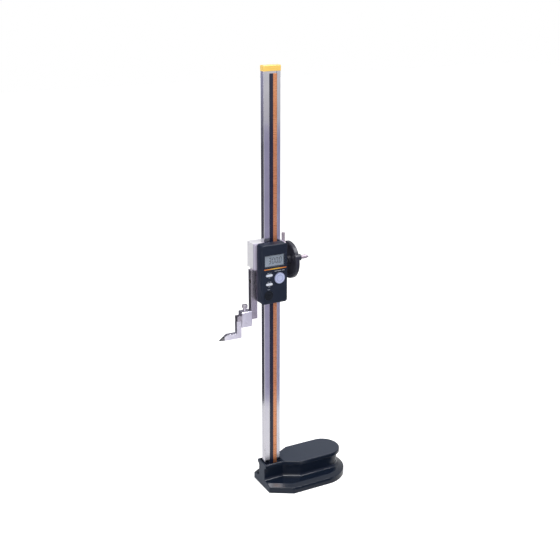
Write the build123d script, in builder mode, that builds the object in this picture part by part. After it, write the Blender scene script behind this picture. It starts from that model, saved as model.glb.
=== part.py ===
from build123d import *
import math
import os

# Digital height gauge with a 600 mm measuring range.
#
# Frame: +Z up, z = 0 on the surface plate, the column's axis on the origin.
# +X runs from the column along the base's grip, -X towards the scriber.
# -Y is the front, where the scale and the display are.  All sizes in millimetres.

os.makedirs("parts", exist_ok=True)

# ---------------------------------------------------------------- clearances
slide_gap = 0.05  # between flat faces that slide on each other
running_gap = 0.05  # radial, a shaft in its bush
hole_gap = 0.1  # radial, a screw in a plain hole
press_gap = 0.01  # radial, a piece pressed on its shaft
free_gap = 0.3  # moving pieces that only pass each other
button_gap = 0.25  # around a button in its hole
same_height = 0.01  # heights nearer than this are the same

socket_sides = 6  # of a screw's hexagon socket

# -------------------------------------------------------------------- column
column_width = 33.0
column_depth = 12.0
column_top = 800.0  # where the end cap sits, above the surface plate
column_foot = 14.0  # lower end, inside the base
column_edge = 0.6

scale_left = 5.5  # the strip's left edge, left of the column's centre line
scale_width = 15.1
scale_groove_depth = 1.6
scale_thickness = 0.8
cover_width = 7.6
cover_thickness = 0.5
scale_end_margin = 4.0  # bare column above the strips

cap_overhang = 0.6
cap_height = 10.0
cap_edge = 1.0
cap_screw_pitch = 20.0
cap_screw_radius = 1.5
cap_screw_head_radius = 3.0
cap_screw_length = 16.0

# --------------------------------------------------------- rack and pinion
gear_module = 1.0
pinion_teeth = 16
pressure_angle = math.radians(20)
pinion_addendum = 1.0 * gear_module
rack_addendum = 0.85 * gear_module
dedendum = 1.25 * gear_module
backlash = 0.2
pinion_face = 5.6
pinion_hub_radius = 6.3
pinion_hub = 5.0
pinion_pin_radius = 1.0
rack_width = 7.0
rack_back = 1.75  # solid strip behind the rack's teeth
rack_groove_depth = 4.2
rack_above_base = 64.0  # bare groove below the rack
rack_below_cap = 53.0
rack_screw_count = 4
rack_screw_radius = 1.0
rack_screw_head_radius = 1.9
rack_screw_bite = 1.2  # length of screw inside the rack
rack_screw_margin = 20.0

# ---------------------------------------------------------------------- base
base_height = 51.0
base_end = 20.4  # flat end face, left of the column's axis
foot_band = 12.2
foot_bevel_height = 4.2  # slope from the foot's band up to its flat top
foot_bevel_width = 10.0
foot_end_half = 33.0
foot_half = 57.5
foot_corner = 21.0  # where the foot reaches its full width
foot_round_centre = 100.0
neck_half = 17.0
neck_length = 20.3  # the neck ends here, right of the column's axis
grip_half = 33.5
grip_start = 50.0  # where the grip reaches its full width
grip_round_centre = 117.0
lip_thickness = 7.2
lip_overhang = 5.5
waist_fillet = 5.0
cove_fillet = 4.5
lip_round = 1.5

pocket_wall = 2.4
pocket_depth = 5.0
pocket_right = 3.5  # from the column's right face to the grip
socket_fit = 0.05

relief_depth = 6.0
relief_rim = 12.0
relief_start = 30.0
relief_corner = 32.0

column_bolt_pitch = 19.0
column_bolt_radius = 3.0
column_bolt_head_radius = 5.0
column_bolt_head = 6.0
column_bolt_grip = 14.0  # thread inside the column
bolt_socket_width = 5.0
bolt_socket_depth = 3.0

# -------------------------------------------------------------------- slider
slider_rest = 390.0  # height of the slider's lower face as stored
slider_height = 107.0
left_wall = 14.0
shoulder = 6.0
shoulder_height = 47.5  # the shoulder hangs this far down from the slider's top
gib_thickness = 2.0
gib_play = 0.3
gib_end_margin = 2.0
right_wall = 3.3
front_wall = 3.0
rear_depth = 17.0
slider_edge = 0.8
pinion_rise = 63.0  # pinion axis above the slider's lower face
pinion_room = 12.0
chamber_play = 2.0
rear_pocket_margin = 8.0
rear_pocket_wall = 3.0
rear_pocket_gap = 6.0  # web between the pinion's chamber and the plain pockets
rear_pocket_round = 3.0
back_cover_thickness = 1.5
back_cover_inset = 2.0
back_cover_round = 3.0
cover_screw_inset = 3.6
cover_screw_radius = 1.25
cover_screw_head_radius = 2.2
cover_screw_head = 1.4
cover_screw_bite = 6.0
gib_screw_radius = 1.5
gib_screw_inset = 17.0
gib_socket_width = 1.5
gib_socket_depth = 1.6

shaft_radius = 4.0
bush_wall = 1.5
bush_length = 12.0
shaft_left = 22.0  # left end of the pinion's shaft, left of the column's centre line
housing_radius = 7.5
housing_flange = 3.0
housing_flange_width = 17.0  # front to rear
housing_flange_height = 26.0
housing_flange_round = 3.0
housing_reach = 15.5  # the sleeve's length outside the slider
housing_screw_pitch = 20.0
housing_screw_radius = 0.9
housing_screw_head_radius = 1.6
housing_screw_head = 1.2
housing_screw_bite = 2.5

# ------------------------------------------------------------ slider's clamp
clamp_drop = 7.0  # clamp screw below the slider's top
clamp_screw_radius = 2.5
clamp_hub_radius = 4.2
clamp_hub_length = 6.4
clamp_lever_radius = 3.1
clamp_lever_length = 20.5
lever_root = 3.35  # lever's lower end above the screw's axis, inside the hub's ring

# ------------------------------------------------------------------- display
display_width = 52.0
display_drop = 2.0  # below the slider's lower face
display_rise = 2.0  # above its top
display_inset = 2.6  # left of the slider's right face
display_front_depth = 16.0
display_back_depth = 3.0
display_corner = 4.5
display_edge = 1.6
shell = 2.0
tongue = 1.2
tongue_height = 2.0

lcd_from_left = 25.9
lcd_from_top = 30.0
lcd_width = 37.7
lcd_height = 20.0
window_lap = 1.0
window_thickness = 1.0
lcd_border = 1.4

stripe_below_lcd = 15.0  # from the display's middle
stripe_height = 1.8
stripe_depth = 0.4
stripe_left = 5.0
stripe_right = 2.2

button_proud = 0.7
button_travel = 0.8
button_flange = 1.0
flange_lap = 1.0
key_width = 13.0
key_height = 4.3
key_from_left = 15.1
zero_share = 3 / 7  # of the way up from the battery to the stripe
power_share = 10 / 13
data_radius = 10.3
data_ring_radius = 5.0
data_ring_width = 0.7
data_ring_depth = 0.3
data_from_left = 36.2
data_share = 8 / 13

board_depth = 4.0  # circuit board behind the shell's inner face
board_thickness = 1.6
board_boss_radius = 2.5
board_boss_inset = 5.0
board_screw_radius = 1.0
board_screw_head_radius = 1.9
board_screw_head = 1.2
membrane_thickness = 1.0
membrane_margin = 4.0
membrane_side = 2.0
dome_radius = 2.0

battery_from_left = 14.0
battery_from_bottom = 16.5
battery_radius = 5.8
battery_height = 5.4
battery_cap_radius = 8.7
battery_cap_head = 1.5
battery_cap_seat = 1.2
battery_plug_radius = 6.2
battery_plug = 2.2
battery_well_wall = 1.5
coin_slot_width = 1.6
coin_slot_length = 12.0
coin_slot_depth = 0.8
contact_thickness = 0.6

connector_from_bottom = 14.0
connector_width = 16.0
connector_depth = 6.0
connector_reach = 9.0
connector_mouth_margin = 0.6
connector_cap_lap = 1.6
connector_cap_thickness = 1.25

unit_screw_radius = 1.25
unit_screw_head_radius = 2.2
unit_screw_head = 1.6
unit_screw_bite = 2.5
unit_screw_pitch_x = 37.0
unit_screw_rise = 14.0
unit_screw_drop = 13.0

detector_width = 24.0
detector_rise = 25.0  # its lower end above the slider's lower face
detector_drop = 22.0  # its upper end below the slider's top
detector_thickness = 1.6
detector_stand_off = 0.25  # board's rear face in front of the slider's bearing face
link_width = 16.0
link_height = 6.0

# ----------------------------------------------------- measuring arm, scriber
arm_thickness = 12.5
arm_width = 11.0
arm_front = 6.0  # the arm's front face, in front of the column's axis
arm_drop = 34.5  # below the slider's lower face
arm_edge = 0.5
stub_height = 9.5
stub_reach = 28.0
arm_screw_radius = 2.5
arm_screw_head_radius = 4.25
arm_screw_head = 5.0
arm_screw_drop = 21.5  # below the shoulder
arm_screw_bite = 9.0
arm_screw_socket = 4.0
arm_screw_socket_depth = 2.5
arm_screw_sink = 5.4
dowel_radius = 1.5
dowel_half = 4.0
dowel_rise = 14.0  # lower dowel above the slider's lower face
dowel_drop = 9.5  # upper dowel below the shoulder

scriber_size = 9.0
scriber_tail = 31.0  # shank from the drop's left side to its right end
scriber_drop = 33.0  # from the shank's top to the blade's lower edge
blade_height = 10.1
blade_flat = 18.6  # level part of the blade's top
blade_reach = 34.0  # from the drop's left side to the point
carbide_length = 9.5
point_height = 0.7
point_width = 2.5

clamp_box_length = 19.2
clamp_box_wall = 2.5
clamp_box_floor = 3.4
clamp_box_roof = 7.5
clamp_box_edge = 0.8
thumb_screw_radius = 2.0
thumb_stem = 2.6
thumb_head_radius = 5.2
thumb_head = 9.4
thumb_ribs = 14
thumb_rib_depth = 0.8
thumb_screw_back = 10.4  # from the box's right side to the screw

# ---------------------------------------------------------------- feed wheel
wheel_radius = 35.0
wheel_width = 9.0
wheel_gap = 1.0  # between the shaft's housing and the wheel's hub
rim_thickness = 4.5
web_thickness = 3.0
web_back = 1.2  # web's outer face inside the rim's outer face
hub_radius = 9.0
hub_proud = 1.5
wheel_edge = 1.5
crank_radius = 30.0
crank_angle = math.radians(21)  # above the horizontal, towards the front
crank_boss_radius = 6.0
crank_boss_proud = 3.6
crank_pin_radius = 1.5
crank_handle_radius = 3.75
crank_handle_length = 15.0
crank_handle_edge = 0.9
crank_head_radius = 2.4
crank_head = 1.2
crank_pin_bite = 5.0
wheel_screw_radius = 2.0
wheel_screw_head_radius = 5.5
wheel_screw_head = 1.8
wheel_screw_bite = 8.0
wheel_screw_socket = 3.0
wheel_screw_socket_depth = 0.9

# ------------------------------------------------------------ derived places
pocket_floor = base_height - pocket_depth
column_front = -column_depth / 2
column_back = column_depth / 2
column_side = column_width / 2

pitch_radius = gear_module * pinion_teeth / 2
tooth_pitch = math.pi * gear_module
rack_floor = column_back - rack_groove_depth
rack_root = rack_floor + rack_back
pitch_line = rack_root + dedendum
pinion_y = pitch_line + pitch_radius

slider_top = slider_rest + slider_height
bearing_left = -column_side - slide_gap
bearing_right = column_side + slide_gap
bearing_front = column_front - slide_gap
bearing_back = column_back + slide_gap
arm_seat = bearing_left - left_wall
slider_left = arm_seat - shoulder
gib_room = bearing_right + gib_thickness + gib_play
slider_right = gib_room + right_wall
slider_front = bearing_front - front_wall
slider_back = bearing_back + rear_depth
pinion_z = slider_rest + pinion_rise
shoulder_z = slider_top - shoulder_height
arm_screw_z = shoulder_z - arm_screw_drop
dowel_heights = (slider_rest + dowel_rise, shoulder_z - dowel_drop)
arm_middle_y = arm_width / 2 - arm_front

display_right = slider_right - display_inset
display_left = display_right - display_width
display_bottom = slider_rest - display_drop
display_top = slider_top + display_rise
display_height = display_top - display_bottom
display_middle_x = (display_left + display_right) / 2
display_middle_z = (display_bottom + display_top) / 2
display_joint = slider_front - display_back_depth
display_face = display_joint - display_front_depth
inner_face = display_face + shell
board_front = inner_face + board_depth
board_back = board_front + board_thickness


def front_plane(y):
    """Plane square to Y at the given y; local (x, y) are (X, Z) and its normal points forwards (-Y)."""
    return Plane(origin=(0, y, 0), x_dir=(1, 0, 0), z_dir=(0, -1, 0))


def side_plane(x):
    """Plane square to X at the given x; local x runs along +Y and local y along +Z."""
    return Plane(origin=(x, 0, 0), x_dir=(0, 1, 0), z_dir=(1, 0, 0))


def finish(part, name):
    """Labels a finished piece and writes it."""
    part.label = name
    export_step(part, f"parts/{name}.step")


# ====================================================================== base
# Iron casting: a wide foot, a waist to put the fingers round, and a grip plate on top.


def paddle(end_half, shoulder, shoulder_half, grip, half, round_centre):
    """Outline from the flat end, over the slanted shoulders, to the round end."""
    Line((-base_end, end_half), (-base_end, -end_half))
    Line((-base_end, -end_half), (shoulder, -shoulder_half))
    Line((shoulder, -shoulder_half), (grip, -half))
    Line((grip, -half), (round_centre, -half))
    ThreePointArc((round_centre, -half), (round_centre + half, 0), (round_centre, half))
    Line((round_centre, half), (grip, half))
    Line((grip, half), (shoulder, shoulder_half))
    Line((shoulder, shoulder_half), (-base_end, end_half))


def foot_outline():
    """Foot's outline, full width from its corner on."""
    paddle(foot_end_half, foot_corner, foot_half, grip_start, foot_half, foot_round_centre)


def waist_outline():
    """Waist's outline, under the grip plate's overhang."""
    neck = neck_half - lip_overhang
    waist = grip_half - lip_overhang
    paddle(neck, neck_length, neck, grip_start, waist, grip_round_centre)


def waist_wall_edges(casting):
    """Edges of the upright walls that end at the grip plate's underside."""
    walls = casting.faces().filter_by(
        lambda face: abs(face.bounding_box().max.Z - lip_bottom) < same_height
        and face.bounding_box().min.Z < lip_bottom - same_height
    )
    return walls.edges()


lip_bottom = base_height - lip_thickness
waist_bottom = foot_band + foot_bevel_height
pocket_left = -base_end + pocket_wall
pocket_end = column_side + pocket_right
pocket_half = neck_half - pocket_wall
relief_end = foot_round_centre + foot_half - relief_rim

with BuildPart() as base_casting:
    with BuildSketch():
        with BuildLine():
            foot_outline()
        make_face()
    extrude(amount=waist_bottom)
    foot_top = base_casting.faces().sort_by(Axis.Z)[-1]
    foot_rim = foot_top.edges().sort_by(Axis.X)[1:]
    chamfer(foot_rim, foot_bevel_width, foot_bevel_height, reference=foot_top)
    with BuildSketch(Plane.XY.offset(waist_bottom)):
        with BuildLine():
            waist_outline()
        make_face()
    extrude(amount=lip_bottom - waist_bottom)
    with BuildSketch(Plane.XY.offset(lip_bottom)):
        with BuildLine():
            paddle(neck_half, neck_length, neck_half, grip_start, grip_half, grip_round_centre)
        make_face()
    extrude(amount=lip_thickness)
    # Creases where the waist meets the foot and the lip, all but the flat end's.
    fillet(waist_wall_edges(base_casting).group_by(Axis.Z)[0], waist_fillet)
    fillet(waist_wall_edges(base_casting).group_by(Axis.Z)[-1], cove_fillet)
    grip_rim = base_casting.faces().sort_by(Axis.Z)[-1].edges().sort_by(Axis.X)[1:]
    fillet(grip_rim, lip_round)

    # Pocket round the column's foot, and the fitted socket it stands in.
    with BuildSketch(Plane.XY.offset(pocket_floor)):
        with Locations(((pocket_left + pocket_end) / 2, 0)):
            Rectangle(pocket_end - pocket_left, 2 * pocket_half)
    extrude(amount=base_height, mode=Mode.SUBTRACT)
    with BuildSketch(Plane.XY.offset(column_foot)):
        Rectangle(column_width + 2 * socket_fit, column_depth + 2 * socket_fit)
    extrude(amount=base_height, mode=Mode.SUBTRACT)

    # Counterbored holes from below for the column's bolts.
    with Locations(Plane.XY.rotated((180, 0, 0))):
        with GridLocations(column_bolt_pitch, 1, 2, 1):
            CounterBoreHole(
                column_bolt_radius + hole_gap,
                column_bolt_head_radius + free_gap,
                column_bolt_head + free_gap,
                depth=column_foot + free_gap,
            )

    # Relieved underside, so that the foot rests on its rim and its end.
    with BuildSketch():
        with Locations(((relief_start + relief_end) / 2, 0)):
            RectangleRounded(relief_end - relief_start, 2 * (foot_half - relief_rim), relief_corner)
    extrude(amount=relief_depth, mode=Mode.SUBTRACT)
finish(base_casting.part, "base_casting")

# Two socket screws that hold the column down.
with BuildPart() as column_bolts:
    with BuildSketch(Plane.XY.offset(free_gap)):
        with GridLocations(column_bolt_pitch, 1, 2, 1):
            Circle(column_bolt_head_radius)
    extrude(amount=column_bolt_head)
    with BuildSketch(Plane.XY.offset(free_gap)):
        with GridLocations(column_bolt_pitch, 1, 2, 1):
            Circle(column_bolt_radius)
    extrude(amount=column_foot - free_gap + column_bolt_grip)
    with BuildSketch(Plane.XY.offset(free_gap)):
        with GridLocations(column_bolt_pitch, 1, 2, 1):
            RegularPolygon(bolt_socket_width / 2, socket_sides, major_radius=False)
    extrude(amount=bolt_socket_depth, mode=Mode.SUBTRACT)
finish(column_bolts.part, "column_bolts")

# ==================================================================== column
groove_floor = column_front + scale_groove_depth
scale_right = scale_width - scale_left
scale_middle = scale_right - scale_width / 2
cap_screw_floor = column_top - cap_screw_length

# The rack's teeth: a gap between two of them faces the pinion's axis at rest.
gaps_below = int((pinion_z - base_height - rack_above_base) / tooth_pitch)
gaps_above = int((column_top - rack_below_cap - pinion_z) / tooth_pitch)
rack_bottom = pinion_z - (gaps_below + 0.5) * tooth_pitch
rack_top = pinion_z + (gaps_above + 0.5) * tooth_pitch
rack_tip = pitch_line + rack_addendum
flank = math.tan(pressure_angle)
gap_half_at_tip = tooth_pitch / 4 + rack_addendum * flank
gap_half_at_root = tooth_pitch / 4 - dedendum * flank
rack_screw_middle = (rack_top + rack_bottom) / 2
rack_screw_pitch = (rack_top - rack_bottom - 2 * rack_screw_margin) / (rack_screw_count - 1)

with BuildPart() as column_beam:
    with BuildSketch(Plane.XY.offset(column_foot)):
        Rectangle(column_width, column_depth)
        chamfer(vertices(), column_edge)
        with Locations((scale_middle, column_front)):
            Rectangle(scale_width, 2 * scale_groove_depth, mode=Mode.SUBTRACT)
        with Locations((0, column_back)):
            Rectangle(rack_width, 2 * rack_groove_depth, mode=Mode.SUBTRACT)
    extrude(amount=column_top - column_foot)
    with BuildSketch(Plane.XY.offset(column_foot)):
        with GridLocations(column_bolt_pitch, 1, 2, 1):
            Circle(column_bolt_radius + hole_gap / 2)
    extrude(amount=column_bolt_grip + free_gap, mode=Mode.SUBTRACT)
    with BuildSketch(Plane.XY.offset(cap_screw_floor)):
        with GridLocations(cap_screw_pitch, 1, 2, 1):
            Circle(cap_screw_radius + hole_gap / 2)
    extrude(amount=cap_screw_length, mode=Mode.SUBTRACT)
    with Locations(front_plane(groove_floor)):
        with Locations((0, rack_screw_middle)):
            with GridLocations(1, rack_screw_pitch, 1, rack_screw_count):
                CounterSinkHole(
                    rack_screw_radius + hole_gap,
                    rack_screw_head_radius + hole_gap,
                    depth=rack_floor - groove_floor,
                )
finish(column_beam.part, "column_beam")

strip_bottom = pocket_floor + free_gap
strip_height = column_top - scale_end_margin - strip_bottom

# Scale: a copper-patterned strip laid in the column's front groove.
with BuildPart() as scale_strip:
    with BuildSketch(Plane.XY.offset(strip_bottom)):
        with Locations((scale_middle, groove_floor - scale_thickness / 2)):
            Rectangle(scale_width, scale_thickness)
    extrude(amount=strip_height)
finish(scale_strip.part, "scale_strip")

# Black cover over the left half of the scale.
cover_y = groove_floor - scale_thickness - cover_thickness / 2
with BuildPart() as scale_cover_strip:
    with BuildSketch(Plane.XY.offset(strip_bottom)):
        with Locations((-scale_left + cover_width / 2, cover_y)):
            Rectangle(cover_width, cover_thickness)
    extrude(amount=strip_height)
finish(scale_cover_strip.part, "scale_cover_strip")

# Rack in the column's rear groove.
with BuildPart() as rack:
    with BuildSketch(side_plane(-rack_width / 2)):
        with BuildLine():
            outline = [(rack_floor, rack_bottom), (rack_tip, rack_bottom)]
            for index in range(-gaps_below, gaps_above + 1):
                gap_z = pinion_z + index * tooth_pitch
                outline.append((rack_tip, gap_z - gap_half_at_tip))
                outline.append((rack_root, gap_z - gap_half_at_root))
                outline.append((rack_root, gap_z + gap_half_at_root))
                outline.append((rack_tip, gap_z + gap_half_at_tip))
            outline.append((rack_tip, rack_top))
            outline.append((rack_floor, rack_top))
            Polyline(*outline, close=True)
        make_face()
    extrude(amount=rack_width)
    with BuildSketch(front_plane(rack_floor + rack_screw_bite)):
        with Locations((0, rack_screw_middle)):
            with GridLocations(1, rack_screw_pitch, 1, rack_screw_count):
                Circle(rack_screw_radius + hole_gap / 2)
    extrude(amount=rack_screw_bite, mode=Mode.SUBTRACT)
finish(rack.part, "rack")

# Countersunk screws from the scale's groove into the rack.
with BuildPart() as rack_screws:
    with Locations(front_plane(groove_floor)):
        with Locations((0, rack_screw_middle)):
            with GridLocations(1, rack_screw_pitch, 1, rack_screw_count):
                Cylinder(
                    rack_screw_radius,
                    rack_floor + rack_screw_bite - groove_floor,
                    align=(Align.CENTER, Align.CENTER, Align.MAX),
                )
                Cone(
                    rack_screw_radius,
                    rack_screw_head_radius,
                    rack_screw_head_radius - rack_screw_radius,
                    align=(Align.CENTER, Align.CENTER, Align.MAX),
                )
finish(rack_screws.part, "rack_screws")

# Cap over the column's upper end, and its two countersunk screws.
cap_top = column_top + cap_height
with BuildPart() as top_cap:
    with BuildSketch(Plane.XY.offset(column_top)):
        Rectangle(column_width + 2 * cap_overhang, column_depth + 2 * cap_overhang)
    extrude(amount=cap_height)
    chamfer(top_cap.edges().filter_by(Axis.Z), cap_edge)
    chamfer(top_cap.faces().sort_by(Axis.Z)[-1].edges(), cap_edge)
    with Locations(Plane.XY.offset(cap_top)):
        with GridLocations(cap_screw_pitch, 1, 2, 1):
            CounterSinkHole(cap_screw_radius + hole_gap, cap_screw_head_radius + hole_gap)
finish(top_cap.part, "top_cap")

with BuildPart() as top_cap_screws:
    with Locations(Plane.XY.offset(cap_top)):
        with GridLocations(cap_screw_pitch, 1, 2, 1):
            Cylinder(
                cap_screw_radius,
                cap_height + cap_screw_length - free_gap,
                align=(Align.CENTER, Align.CENTER, Align.MAX),
            )
            Cone(
                cap_screw_radius,
                cap_screw_head_radius,
                cap_screw_head_radius - cap_screw_radius,
                align=(Align.CENTER, Align.CENTER, Align.MAX),
            )
finish(top_cap_screws.part, "top_cap_screws")

# ==================================================================== slider
# Frame that runs on the column, with a chamber for the pinion open to the rear.
shaft_bore_radius = shaft_radius + running_gap
bush_radius = shaft_radius + bush_wall
clamp_z = slider_top - clamp_drop
chamber_left = -pinion_face / 2 - pinion_hub - chamber_play
chamber_right = pinion_face / 2 + chamber_play
bush_left = -shaft_left
rear_left = arm_seat + rear_pocket_margin
rear_right = slider_right - rear_pocket_margin
gib_screw_heights = (slider_rest + gib_screw_inset, clamp_z - gib_screw_inset)
detector_height = slider_height - detector_rise - detector_drop
detector_middle_z = slider_rest + detector_rise + detector_height / 2
unit_screw_heights = (slider_rest + unit_screw_rise, slider_top - unit_screw_drop)


def cover_screw_places():
    """Places of the rear cover's screws on a front plane."""
    left = arm_seat + back_cover_inset + cover_screw_inset
    right = slider_right - back_cover_inset - cover_screw_inset
    low = slider_rest + back_cover_inset + cover_screw_inset
    high = slider_top - back_cover_inset - cover_screw_inset
    return [(left, low), (right, low), (left, high), (right, high)]


def unit_screw_places():
    """Places of the screws that hold the display's rear half, on a front plane."""
    half = unit_screw_pitch_x / 2
    low, high = unit_screw_heights
    return [
        (display_middle_x - half, low),
        (display_middle_x + half, low),
        (display_middle_x - half, high),
        (display_middle_x + half, high),
    ]


with BuildPart() as slider_body:
    with BuildSketch(Plane.XY.offset(slider_rest)):
        with BuildLine():
            Polyline(
                (arm_seat, slider_front),
                (slider_right, slider_front),
                (slider_right, slider_back),
                (arm_seat, slider_back),
                close=True,
            )
        make_face()
    extrude(amount=slider_height)
    with BuildSketch(Plane.XY.offset(shoulder_z)):
        with BuildLine():
            Polyline(
                (slider_left, slider_front),
                (arm_seat, slider_front),
                (arm_seat, slider_back),
                (slider_left, slider_back),
                close=True,
            )
        make_face()
    extrude(amount=shoulder_height)
    outer_edges = slider_body.edges().filter_by(Axis.Z).sort_by(Axis.X)
    chamfer(outer_edges[:2] + outer_edges[-2:], slider_edge)

    # Passage for the column, wider on the right by the gib.
    with BuildSketch(Plane.XY.offset(slider_rest)):
        with BuildLine():
            Polyline(
                (bearing_left, bearing_front),
                (gib_room, bearing_front),
                (gib_room, bearing_back),
                (bearing_left, bearing_back),
                close=True,
            )
        make_face()
    extrude(amount=slider_height, mode=Mode.SUBTRACT)

    # Pinion's chamber, joined to the passage.
    with BuildSketch(front_plane(slider_back)):
        with Locations(((chamber_left + chamber_right) / 2, pinion_z)):
            Rectangle(chamber_right - chamber_left, 2 * pinion_room)
    extrude(amount=slider_back - bearing_front, mode=Mode.SUBTRACT)

    # Plain pockets above and below, behind a web that bears on the column.
    for low, high in (
        (slider_rest + rear_pocket_margin, pinion_z - pinion_room - rear_pocket_gap),
        (pinion_z + pinion_room + rear_pocket_gap, slider_top - rear_pocket_margin),
    ):
        with BuildSketch(front_plane(slider_back)):
            with Locations(((rear_left + rear_right) / 2, (low + high) / 2)):
                RectangleRounded(rear_right - rear_left, high - low, rear_pocket_round)
        extrude(amount=slider_back - bearing_back - rear_pocket_wall, mode=Mode.SUBTRACT)

    # Bore for the shaft and its left bush, and the housing's seat in the right wall.
    with BuildSketch(side_plane(bush_left)):
        with Locations((pinion_y, pinion_z)):
            Circle(bush_radius)
    extrude(amount=gib_room - bush_left, mode=Mode.SUBTRACT)
    with BuildSketch(side_plane(gib_room)):
        with Locations((pinion_y, pinion_z)):
            Circle(housing_radius)
    extrude(amount=right_wall, mode=Mode.SUBTRACT)
    with BuildSketch(side_plane(slider_right - housing_screw_bite - free_gap)):
        with Locations((pinion_y, pinion_z)):
            with GridLocations(1, housing_screw_pitch, 1, 2):
                Circle(housing_screw_radius + hole_gap / 2)
    extrude(amount=housing_screw_bite + free_gap, mode=Mode.SUBTRACT)

    # Threaded holes on the right for the clamp screw and the gib's screws.
    with BuildSketch(side_plane(gib_room)):
        with Locations((0, clamp_z)):
            Circle(clamp_screw_radius + running_gap)
        with Locations(*[(0, z) for z in gib_screw_heights]):
            Circle(gib_screw_radius + hole_gap / 2)
    extrude(amount=right_wall, mode=Mode.SUBTRACT)

    # Window for the detector, and the display unit's screw holes.
    with BuildSketch(front_plane(bearing_front)):
        with Locations((scale_middle, detector_middle_z)):
            Rectangle(detector_width, detector_height)
        with Locations(*unit_screw_places()):
            Circle(unit_screw_radius + hole_gap / 2)
    extrude(amount=front_wall, mode=Mode.SUBTRACT)

    # Rear cover's screw holes.
    with BuildSketch(front_plane(slider_back)):
        with Locations(*cover_screw_places()):
            Circle(cover_screw_radius + hole_gap / 2)
    extrude(amount=cover_screw_bite, mode=Mode.SUBTRACT)

    # Arm's screw and dowels, from the left.
    with BuildSketch(side_plane(arm_seat)):
        with Locations((arm_middle_y, arm_screw_z)):
            Circle(arm_screw_radius + hole_gap / 2)
    extrude(amount=arm_screw_bite + free_gap, mode=Mode.SUBTRACT)
    with BuildSketch(side_plane(arm_seat)):
        with Locations(*[(arm_middle_y, z) for z in dowel_heights]):
            Circle(dowel_radius + hole_gap / 2)
    extrude(amount=dowel_half + free_gap, mode=Mode.SUBTRACT)
finish(slider_body.part, "slider_body")

# Gib: a strip between the column's right side and the slider's wall.
with BuildPart() as gib_strip:
    with BuildSketch(Plane.XY.offset(slider_rest + gib_end_margin)):
        with Locations((bearing_right + gib_thickness / 2, 0)):
            Rectangle(gib_thickness, column_depth)
    extrude(amount=slider_height - 2 * gib_end_margin)
finish(gib_strip.part, "gib_strip")

# Set screws that press on the gib.
gib_outer = bearing_right + gib_thickness
with BuildPart() as gib_screws:
    with BuildSketch(side_plane(gib_outer)):
        with Locations(*[(0, z) for z in gib_screw_heights]):
            Circle(gib_screw_radius)
    extrude(amount=slider_right - gib_outer)
    with BuildSketch(side_plane(slider_right)):
        with Locations(*[(0, z) for z in gib_screw_heights]):
            RegularPolygon(gib_socket_width / 2, socket_sides, major_radius=False)
    extrude(amount=-gib_socket_depth, mode=Mode.SUBTRACT)
finish(gib_screws.part, "gib_screws")

# Rear cover plate and its four cheese-head screws.
with BuildPart() as slider_back_cover:
    with BuildSketch(front_plane(slider_back + back_cover_thickness)):
        with Locations(((arm_seat + slider_right) / 2, (slider_rest + slider_top) / 2)):
            RectangleRounded(
                slider_right - arm_seat - 2 * back_cover_inset,
                slider_height - 2 * back_cover_inset,
                back_cover_round,
            )
        with Locations(*cover_screw_places()):
            Circle(cover_screw_radius + hole_gap, mode=Mode.SUBTRACT)
    extrude(amount=back_cover_thickness)
finish(slider_back_cover.part, "slider_back_cover")

with BuildPart() as back_cover_screws:
    with BuildSketch(front_plane(slider_back + back_cover_thickness + cover_screw_head)):
        with Locations(*cover_screw_places()):
            Circle(cover_screw_head_radius)
    extrude(amount=cover_screw_head)
    with BuildSketch(front_plane(slider_back + back_cover_thickness)):
        with Locations(*cover_screw_places()):
            Circle(cover_screw_radius)
    extrude(amount=back_cover_thickness + cover_screw_bite - free_gap)
finish(back_cover_screws.part, "back_cover_screws")

# ================================================================== display
key_x = display_left + key_from_left
data_x = display_left + data_from_left
lcd_x = display_left + lcd_from_left
lcd_z = display_top - lcd_from_top
stripe_z = lcd_z - stripe_below_lcd
stripe_length = display_width - stripe_left - stripe_right
stripe_x = display_left + stripe_left + stripe_length / 2
battery_x = display_left + battery_from_left
battery_z = display_bottom + battery_from_bottom
key_area = stripe_z - battery_z
power_z = battery_z + key_area * power_share
zero_z = battery_z + key_area * zero_share
data_z = battery_z + key_area * data_share
connector_z = display_bottom + connector_from_bottom + connector_width / 2
connector_y = board_back + connector_depth / 2
well_bottom = inner_face + battery_plug + battery_height + shell - battery_cap_seat
board_half_x = display_width / 2 - shell - board_boss_inset
board_half_z = display_height / 2 - shell - board_boss_inset
board_width = 2 * (board_half_x + board_boss_radius)
board_height = 2 * (board_half_z + board_boss_radius)
board_screw_places = [
    (display_middle_x - board_half_x, display_middle_z - board_half_z),
    (display_middle_x + board_half_x, display_middle_z + board_half_z),
]

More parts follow.
